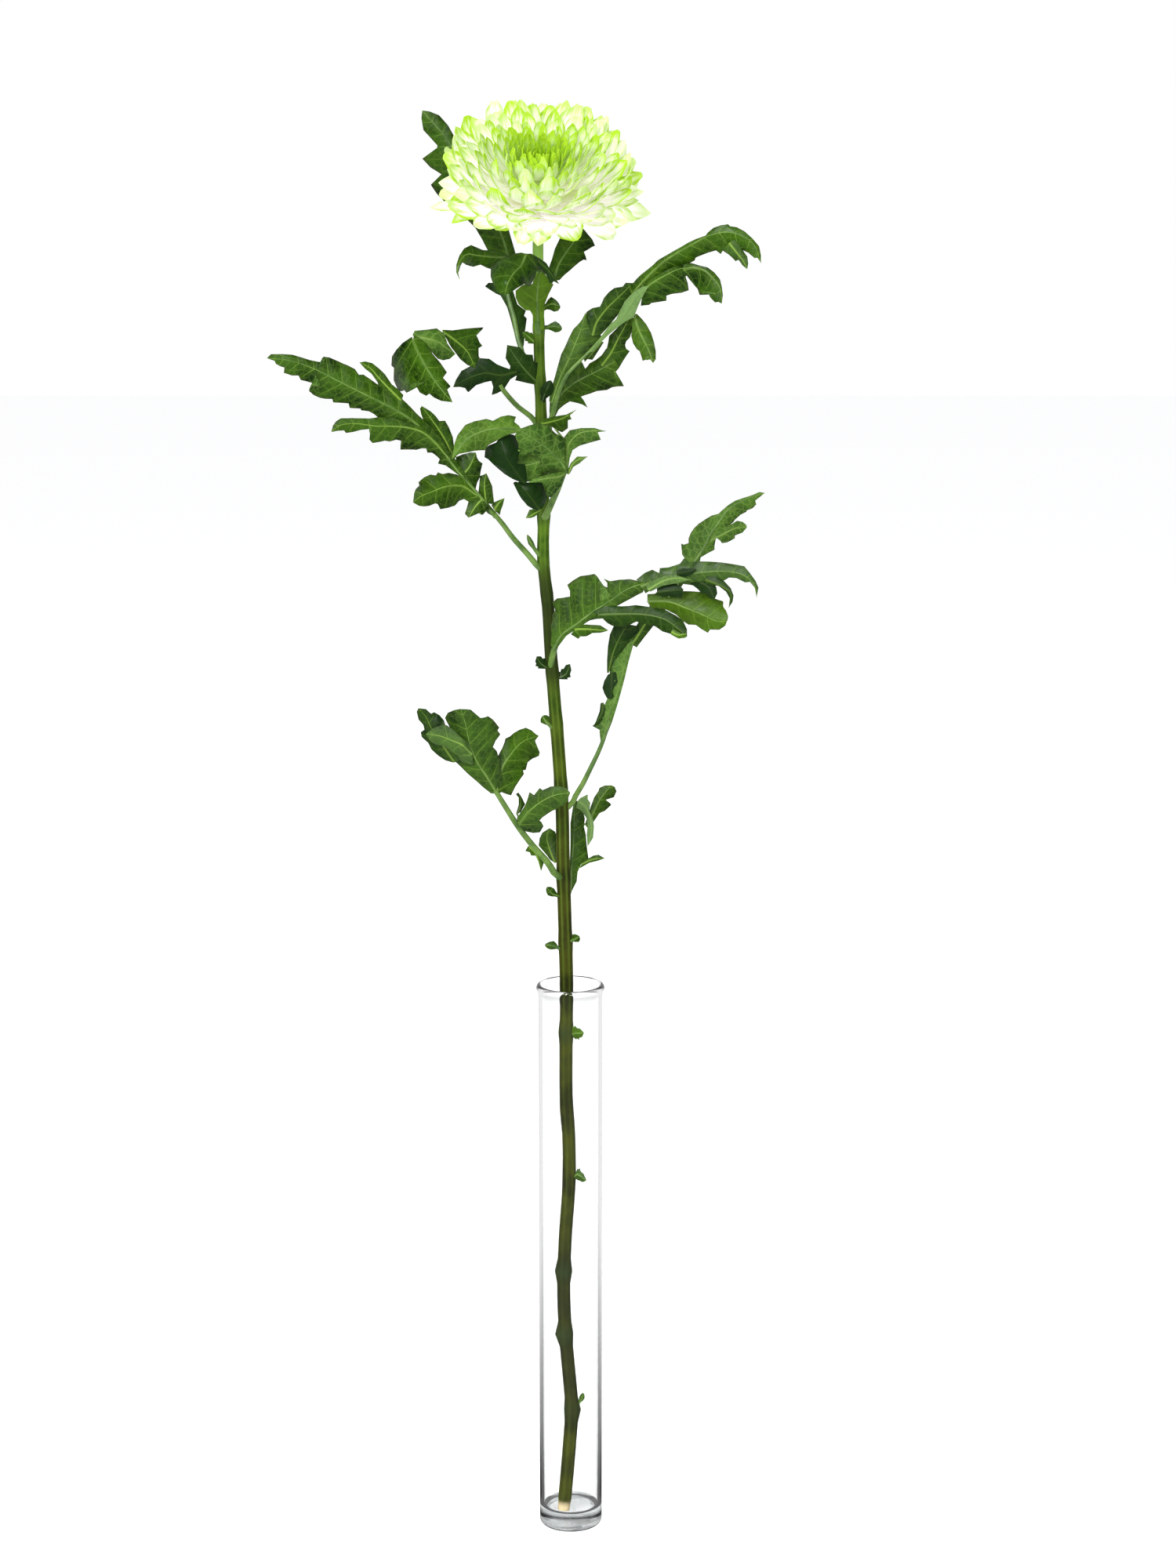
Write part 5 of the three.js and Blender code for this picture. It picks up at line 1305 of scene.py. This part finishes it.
smallPlan = dict(
    sunk=1, lean=(0.25, 0.35), droop=2, tone=0.2, rib=0.4,
    # outlines up to the tip: share of the length, share of the width
    toothed=[(0, 0.25), (0.2, 0.7), (0.34, 1), (0.4, 0.72), (0.56, 0.98), (0.64, 0.66), (0.82, 0.6)],
    oval=[(0, 0.35), (0.25, 0.4), (0.4, 0.7), (0.6, 1), (0.82, 0.75), (0.95, 0.35)],
)


def growSmallLeaf(node, small):
    start = stemAt(np.array([float(small["node"])]))[0][0]
    outward = np.array(small["middle"], float) - start
    outward[2] = 0
    start = start + unit(outward) * (stemRadius(small["node"]) - smallPlan["sunk"])
    spine = np.array([start, small["middle"], small["tip"]], float)
    ahead = unit(spine[2] - spine[0])
    side = unit(np.array([-ahead[2], 0, ahead[0]]))
    edges = []
    for width in (small["width"], -small["width"]):
        edges.append([])
        for share, wide in smallPlan["toothed" if small.get("toothed") else "oval"]:
            on = np.array([np.interp(share, (0, 0.5, 1), spine[:, axis]) for axis in range(3)])
            edges[-1].append((on + side * wide * width)[[0, 2]])
    part = dict(spine=spine, left=edges[0], right=edges[1], lean=smallPlan["lean"], droop=smallPlan["droop"])
    for key in ("tone", "rib"):
        part[key] = small.get(key, smallPlan[key])
    settleLeaf(growPart(node.replace("_", "Small_", 1), part, small["node"]), node)


for node, small in smallLeaves.items():
    growSmallLeaf(node, small)
print("small leaves grown")

flower = dict(
    leanBack=28, leanSide=2.5, gap=0.6, thickness=0.3, seed=11, spiral=math.radians(137.508), sunk=0.3,
    core=[(0, -1.4), (2.75, -1.4), (3.2, 0.4), (7.5, 4.5), (8.2, 6.5), (7.6, 10), (6.4, 15), (4.8, 20),
          (3.4, 24), (0, 24.5)],
    coreSteps=48, facesAcross=4, facesAlong=7, crowding=0.16,
    # rows from the rim inwards: florets, tip radius, tip height at the front and at the back, half width,
    # seat height, bow, how far the tip hooks in, how much more it hooks at the front, cup, how lime it is
    rows=[
        (13, 54, 8, -14, 6.8, 6.5, 0, 4, -30, 0.3, 0.05),
        (20, 54.5, 15, 3, 7, 8, 8, 12, -30, 0.32, 0.06),
        (24, 54, 20, 16, 7, 9.5, 16, 18, -24, 0.34, 0.08),
        (26, 51, 25.5, 28, 7, 11, 22, 20, -18, 0.34, 0.1),
        (26, 48, 30.5, 37, 6.6, 12.5, 25, 20, -8, 0.36, 0.1),
        (26, 43.5, 34, 41, 6, 14, 27, 20, 4, 0.4, 0.12),
        (26, 38, 36, 41, 5.4, 15.5, 28, 20, 12, 0.45, 0.17),
        (26, 32.3, 38.4, 40, 4.6, 17, 30, 20, 18, 0.5, 0.24),
        (26, 26.5, 40.8, 38.8, 3.8, 18.5, 30, 20, 20, 0.6, 0.36),
        (25, 21.2, 41.4, 37.7, 3, 20, 31, 18, 20, 0.7, 0.52),
        (23, 16.4, 41, 37.3, 2.3, 21.3, 32, 18, 14, 0.85, 0.86),
        (19, 12.2, 39.6, 37, 1.8, 22.4, 32, 16, 6, 1, 1),
        (14, 8.8, 37.8, 36.2, 1.4, 23.2, 30, 14, 0, 1.1, 1.05),
        (10, 5.8, 35.6, 35.2, 1.1, 23.8, 24, 8, 0, 1.1, 1.15),
        (7, 3, 33.4, 33.4, 0.85, 24.2, 14, 4, 0, 1.1, 1.25),
    ],
    hookFrom=0.4, pointed=0.95, notchWidth=0.28, baseWidth=0.3, shoulder=0.62, tipNarrowing=0.86,
    rollForward=0.45, frontCup=0.3, notches=(0, 0, 0.03, 0.05),
    # how chance varies a floret: radiusBy is a share, times onRim in the first row, and widthBy and cupBy
    # are factors
    angleBy=(-0.06, 0.06), bowBy=(-8, 8), hookBy=(-24, 24), twistBy=(-0.5, 0.5), limeBy=(-0.07, 0.09),
    radiusBy=(-0.06, 0.05), onRim=2.2, widthBy=(0.85, 1.15), cupBy=(0.6, 1.5), heightBy=3.2, skewBy=0.8,
    white=(0.95, 0.92, 0.97), cream=(0.76, 0.82, 0.42), lime=(0.46, 0.66, 0.04), limeDeep=(0.2, 0.44, 0.0),
    glow=(0.93, 1, 0.68), glowLime=(0.62, 0.92, 0.02), glowStrength=0.2, throughShare=0.52,
    bractLight=(0.22, 0.36, 0.07), bractDark=(0.1, 0.2, 0.035), bractRim=(0.34, 0.4, 0.16),
    # rows of bracts: how many, tip radius, tip height, half width, seat height
    bracts=[(13, 13, 1.5, 2.2, 2.2), (13, 12, 4, 2.4, 3.6), (14, 14, 6.5, 2.6, 5)],
    bractBow=10, bractHook=8, bractCup=0.7, bractSeatDown=2, bractSeatIn=2.2,
    bractAngleBy=(-0.1, 0.1), bractHeightBy=(-0.6, 0.6),
)

turnBack = Matrix.Rotation(math.radians(flower["leanBack"]), 3, "X")
headTurn = np.array(turnBack @ Matrix.Rotation(math.radians(flower["leanSide"]), 3, "Y"))
headOrigin = np.array(stem["line"][-1]) + headTurn @ np.array([0, 0, flower["gap"]])


def placeOnHead(places):
    return (places @ headTurn.T + headOrigin) * mm


def coreRadius(height):  # of the core's upper part, where the florets sit
    upper = flower["core"][3:]
    return np.interp(height, [z for r, z in upper], [r for r, z in upper])


def makeFlatFloret():  # x from -1 to 1 across, y from 0 to 1 from its base to its tip
    letGo()
    across, along = flower["facesAcross"], flower["facesAlong"]
    bpy.ops.mesh.primitive_grid_add(x_subdivisions=across, y_subdivisions=along, size=2)
    piece = newest("flatFloret")
    places = getPoints(piece)
    share = (places[:, 1] + 1) / 2
    places[:, 1] = share + flower["crowding"] * np.sin(math.pi * share) * share  # shorter towards the tip
    places[:, 1] = np.clip(places[:, 1] / places[:, 1].max(), 0, 1)
    setPoints(piece, places)
    solid = piece.modifiers.new("thickness", "SOLIDIFY")
    solid.thickness = flower["thickness"]
    solid.offset = 0
    applyAll(piece)
    return piece


# The middle line of a floret bows and hooks, and is then turned and stretched to run from its seat to its
# tip, both given as radius and height. Around it come its width, a cup, a twist and a bend to the side.
def bendFloret(flat, angle, seat, tip, halfWidth, bow, hook, cup, twist, skew, notch):
    s, q, depth = flat.T
    fine = np.linspace(0, 1, 61)
    hooked = np.clip((fine - flower["hookFrom"]) / (1 - flower["hookFrom"]), 0, 1) ** 1.3
    rise = np.radians(bow * (2 * fine - 1) + hook * hooked)
    run = np.concatenate([[0], np.cumsum(np.cos((rise[1:] + rise[:-1]) / 2))])
    lift = np.concatenate([[0], np.cumsum(np.sin((rise[1:] + rise[:-1]) / 2))])
    length = math.hypot(tip[0] - seat[0], tip[1] - seat[1])
    reach = length / math.hypot(run[-1], lift[-1])
    turn = math.atan2(tip[1] - seat[1], tip[0] - seat[0]) - math.atan2(lift[-1], run[-1])
    lineRadius = seat[0] + reach * (run * math.cos(turn) - lift * math.sin(turn))
    lineHeight = seat[1] + reach * (run * math.sin(turn) + lift * math.cos(turn))
    # The tip is drawn back towards its sides, which leaves a soft point, and some tips are notched.
    pointed = flower["pointed"] * halfWidth / length * np.abs(s) ** 1.8 * q**7
    q = q - pointed - notch * np.exp(-((s / flower["notchWidth"]) ** 2)) * q**12
    slope = np.interp(q, fine, rise) + turn
    grow = np.sin(np.clip(q / 0.7, 0, 1) * math.pi / 2) ** 1.3
    narrow = np.clip((q - flower["shoulder"]) / (1 - flower["shoulder"]), 0, 1) ** 2.1
    width = halfWidth * (flower["baseWidth"] + (1 - flower["baseWidth"]) * grow)
    width = width * np.sqrt(1 - flower["tipNarrowing"] * narrow)
    hollow = cup * (1.15 - 0.35 * grow)
    lateral = width * (s - 0.13 * hollow * s**3)
    raised = width * hollow * (0.3 * s**2 + 0.16 * s**4) + depth
    cosine, sine = np.cos(twist * q), np.sin(twist * q)
    lateral, raised = lateral * cosine - raised * sine + skew * q**2, lateral * sine + raised * cosine
    radius = np.interp(q, fine, lineRadius) - raised * np.sin(slope)
    height = np.interp(q, fine, lineHeight) + raised * np.cos(slope)
    x = radius * math.cos(angle) - lateral * math.sin(angle)
    y = radius * math.sin(angle) + lateral * math.cos(angle)
    return np.stack([x, y, height], 1)


def growRow(flatPiece, name, florets, finish, nodes):  # a floret: bendFloret's values, lime, tone
    flat = getPoints(flatPiece)
    copies = []
    for values in florets:
        copy = flatPiece.copy()
        copy.data = flatPiece.data.copy()
        bpy.context.scene.collection.objects.link(copy)
        setPoints(copy, placeOnHead(bendFloret(flat, *values[:-2])))
        setMask(copy, "limeShare", values[-2])
        setMask(copy, "tone", values[-1])
        copies.append(copy)
    piece = joinPieces(copies, name)
    piece.data.materials.append(finish)
    smoothBelow(piece, 60)
    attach(piece, "root")
    if nodes:
        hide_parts(*nodes)


def floretMap(tree):  # its own map, from 0 to 1 across in X and from base to tip in Y
    return put(tree, "SeparateXYZ", {"Vector": put(tree, "UVMap", uv_map="UVMap").outputs[0]})


def makeFloretFinish():
    finish, tree, shader = newFinish("rayFloret", Specular_IOR_Level=0.3)
    shader.inputs["Emission Strength"].default_value = flower["glowStrength"]
    place = floretMap(tree)
    across = maths(tree, "ABSOLUTE", maths(tree, "MULTIPLY_ADD", place.outputs["X"], 2.0, -1.0))
    along = place.outputs["Y"]
    tone = readMask(tree, "tone")
    lime = readMask(tree, "limeShare")
    streakAt = {"X": times(tree, place.outputs["X"], 7.0), "Y": along, "Z": times(tree, tone, 40.0)}
    streaks = noise(tree, put(tree, "CombineXYZ", streakAt).outputs[0], 1.6, 3.0)
    blotch = noise(tree, onObject(tree), 170.0, 2.0)
    # Lime creeps in from the tip and the edges, in streaks and blotches, and more on some florets.
    atTip = plus(tree, along, times(tree, minus(tree, streaks, 0.5), 0.6))
    atEdge = plus(tree, across, times(tree, minus(tree, blotch, 0.5), 0.9))
    rim = times(tree, ramp(tree, atEdge, 0.6, 1.04), ramp(tree, along, 0.3, 0.75))
    green = plus(tree, times(tree, ramp(tree, atTip, 0.6, 0.98), 0.9), times(tree, rim, 0.75))
    green = times(tree, green, plus(tree, times(tree, tone, 0.8), 0.45))
    spread = minus(tree, times(tree, lime, plus(tree, times(tree, streaks, 0.6), 0.75)), 0.15)
    green = maths(tree, "ADD", green, spread, clamp=True)
    colour = mixColour(tree, ramp(tree, along, 0.45, 0.1), flower["white"], flower["cream"])
    colour = mixColour(tree, green, colour, flower["lime"])
    low = times(tree, lime, maths(tree, "MULTIPLY_ADD", along, -1.1, 1.45))  # deepest low in the tuft
    colour = mixColour(tree, ramp(tree, low, 0.5, 1.3), colour, flower["limeDeep"])
    tree.links.new(colour, shader.inputs["Base Color"])
    # Light wanders far inside thin petals and tints the gaps between them; a faint glow stands in for it.
    glow = mixColour(tree, green, flower["glow"], flower["glowLime"])
    tree.links.new(glow, shader.inputs["Emission Color"])
    tree.links.new(ramp(tree, blotch, 0.3, 0.7, 0.5, 0.68), shader.inputs["Roughness"])
    addRelief(tree, shader, streaks, 0.35, 0.5)
    letLightThrough(tree, shader, colour, flower["throughShare"])
    return finish


def makeBractFinish():
    finish, tree, shader = newFinish("involucreBract", Roughness=0.55)
    greens = dict(Light=flower["bractLight"], Dark=flower["bractDark"])
    tissue = useGroup(tree, mottle, PatchSize=200.0, GrainSize=1500.0, **greens)
    rim = ramp(tree, floretMap(tree).outputs["Y"], 0.6, 1.0)
    colour = mixColour(tree, rim, tissue.outputs["Colour"], flower["bractRim"])
    tree.links.new(colour, shader.inputs["Base Color"])
    addRelief(tree, shader, tissue.outputs["Height"], 0.3, 0.3)
    return finish


def makeCore(finish):
    core = spinProfile("headCore", flower["core"], flower["coreSteps"])
    setPoints(core, placeOnHead(getPoints(core) / mm))
    core.data.materials.append(finish)
    pick(core)
    bpy.ops.object.shade_smooth()
    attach(core, "root")
    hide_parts("receptacle")


def floretValues(chance, order, fields, onRim):  # fields: a row's numbers after the first
    tipRadius, front, back, halfWidth, seatHeight, bow, hook, frontHook, cup, lime = fields
    angle = order * flower["spiral"] + chance.uniform(*flower["angleBy"])
    toBack = math.sin(angle)
    hook += frontHook * max(0, 0.3 - toBack) / 1.3
    height = (front + back) / 2 + (back - front) / 2 * toBack
    height += chance.uniform(-1, 1) * min(flower["heightBy"], halfWidth * 0.5)
    radius = tipRadius * (1 + chance.uniform(*flower["radiusBy"]) * (flower["onRim"] if onRim else 1))
    # Florets at the front lie more open, and those at the sides roll their faces to the front.
    openness = 1 - flower["frontCup"] * max(0, -toBack)
    return (
        angle, (coreRadius(seatHeight) - flower["sunk"], seatHeight), (radius, height),
        halfWidth * chance.uniform(*flower["widthBy"]),
        bow + chance.uniform(*flower["bowBy"]),
        hook + chance.uniform(*flower["hookBy"]),
        cup * chance.uniform(*flower["cupBy"]) * openness,
        chance.uniform(*flower["twistBy"]) + flower["rollForward"] * math.cos(angle),
        chance.uniform(-1, 1) * halfWidth * flower["skewBy"],
        chance.choice(flower["notches"]),
        lime + chance.uniform(*flower["limeBy"]),
        chance.random(),
    )


def growFlorets(flat, chance):
    finish = makeFloretFinish()
    table = np.array(flower["rows"], float)
    middles = np.cumsum(table[:, 0]) - table[:, 0] / 2
    grown = 0
    for number, row in enumerate(flower["rows"]):
        florets = []
        for order in range(grown, grown + row[0]):
            # Florets follow one spiral, so their sizes change steadily from row to row.
            fields = [np.interp(order + 0.5, middles, column) for column in table.T[1:]]
            florets.append(floretValues(chance, order, fields, number == 0))
        grown += row[0]
        if number == 0:
            nodes = [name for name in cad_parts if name.startswith("rim_floret")]
        elif number <= 7:
            nodes = ["ray_whorl_%d" % number]
        else:
            nodes = ["tuft"] if number == 12 else []
        growRow(flat, "floretRow_%02d" % number, florets, finish, nodes)


def growBracts(flat, chance, finish):
    down = flower["bractSeatDown"]
    for number, (count, tipRadius, tipHeight, halfWidth, seatHeight) in enumerate(flower["bracts"]):
        bracts = []
        for k in range(count):
            angle = (k + 0.33 * number + chance.uniform(*flower["bractAngleBy"])) / count * math.tau
            seat = (coreRadius(seatHeight + down) - flower["bractSeatIn"], seatHeight - down)
            tip = (tipRadius, tipHeight + chance.uniform(*flower["bractHeightBy"]))
            bend = (halfWidth, flower["bractBow"], flower["bractHook"], flower["bractCup"], 0, 0, 0)
            bracts.append((angle, seat, tip, *bend, 0, chance.random()))
        growRow(flat, "bractRow_%d" % number, bracts, finish, [])


bractFinish = makeBractFinish()
makeCore(bractFinish)
flatFloret = makeFlatFloret()
headChance = random.Random(flower["seed"])
growFlorets(flatFloret, headChance)
growBracts(flatFloret, headChance, bractFinish)
bpy.data.objects.remove(flatFloret)
print("flower head grown")

studio = dict(
    ambient=0.69, sky=(0.98, 0.99, 1), mirrored=(0.15, 0.87),  # in gloss: near the camera, behind the flower
    paperSize=8, paperPlace=(0, 1.5, 0), paper=((0.95, 0.95, 0.95), (0.92, 0.92, 0.92)), paperGlow=0.3,
    cards=dict(darkCard_left=-0.55, darkCard_right=0.55), cardPlace=(-0.1, 0.3), cardSize=(0.7, 0.5),
    cardGrey=(0.05, 0.05, 0.05),
    lamps=dict(
        key=dict(place=(-0.75, -1.7, 1.55), size=0.9, watts=47),
        fill=dict(place=(0.3, -2.2, 1.0), size=0.7, watts=20),
        back=dict(place=(0.5, 1.1, 1.5), size=0.9, watts=6, mirrored=False),
    ),
    lampsLookAt=(0, 0, 0.5),
)


def makeFloor():
    letGo()
    bpy.ops.mesh.primitive_plane_add(size=studio["paperSize"], location=studio["paperPlace"])
    bpy.ops.object.transform_apply(location=True, rotation=True, scale=True)
    floor = newest("paleFloor")
    # The glow keeps the far paper as white as the near.
    finish, tree, shader = newFinish(
        "palePaper", Roughness=0.9, Emission_Color=(1, 1, 1), Emission_Strength=studio["paperGlow"])
    grain = times(tree, noise(tree, onObject(tree), 300.0, 2.0), 0.1)
    tree.links.new(mixColour(tree, grain, *studio["paper"]), shader.inputs["Base Color"])
    # Gloss on leaves and glass mirrors a studio that is bright behind the flower and dim beside the camera.
    depth = put(tree, "SeparateXYZ", {"Vector": onObject(tree)}).outputs["Y"]
    strength = ramp(tree, depth, 0.0, 0.5, *studio["mirrored"])
    dim = put(tree, "Emission", {"Color": (1, 1, 1), "Strength": strength})
    showShader(tree, swapAfter(tree, "Glossy Depth", shader, dim))
    floor.data.materials.append(finish)


def makeCard(name, x):  # a dark card beside the vase, which only the gloss of the glass mirrors
    letGo()
    place = (x, *studio["cardPlace"])
    bpy.ops.mesh.primitive_plane_add(size=1, location=place, rotation=(0, math.radians(90), 0))
    card = newest(name)
    card.scale = (*studio["cardSize"], 1)
    bpy.ops.object.transform_apply(location=True, rotation=True, scale=True)
    finish, _, _ = newFinish("darkCard", Roughness=0.8, Base_Color=studio["cardGrey"])
    card.data.materials.append(finish)
    card.visible_camera = False
    card.visible_diffuse = False
    card.visible_shadow = False
    card.visible_transmission = False


def makeLamp(name, place, size, watts, mirrored=True):
    data = bpy.data.lights.new(name, "AREA")
    data.size = size
    data.energy = watts
    lamp = bpy.data.objects.new(name, data)
    bpy.context.scene.collection.objects.link(lamp)
    lamp.location = place
    lamp.rotation_euler = (Vector(studio["lampsLookAt"]) - Vector(place)).to_track_quat("-Z", "Y").to_euler()
    lamp.visible_glossy = mirrored


def makeWorld():
    world = bpy.data.worlds.new("studioSky")
    bpy.context.scene.world = world
    world.use_nodes = True
    tree = world.node_tree
    seen = tree.nodes["Background"]
    seen.inputs["Color"].default_value = (1, 1, 1, 1)
    seen.inputs["Strength"].default_value = 1.0
    soft = put(tree, "Background", {"Color": studio["sky"], "Strength": studio["ambient"]})
    depth = put(tree, "SeparateXYZ", {"Vector": put(tree, "TexCoord").outputs["Generated"]}).outputs["Y"]
    strength = ramp(tree, depth, -0.1, 0.7, *studio["mirrored"])
    mirrored = put(tree, "Background", {"Color": (1, 1, 1), "Strength": strength})
    lit = swapAfter(tree, "Diffuse Depth", seen, soft)
    showShader(tree, swapAfter(tree, "Glossy Depth", lit, mirrored), "World Output")


makeFloor()
for name, x in studio["cards"].items():
    makeCard(name, x)
for name, lamp in studio["lamps"].items():
    makeLamp(name, **lamp)
makeWorld()
bpy.context.scene.view_settings.view_transform = "Standard"
print("floor and light set")
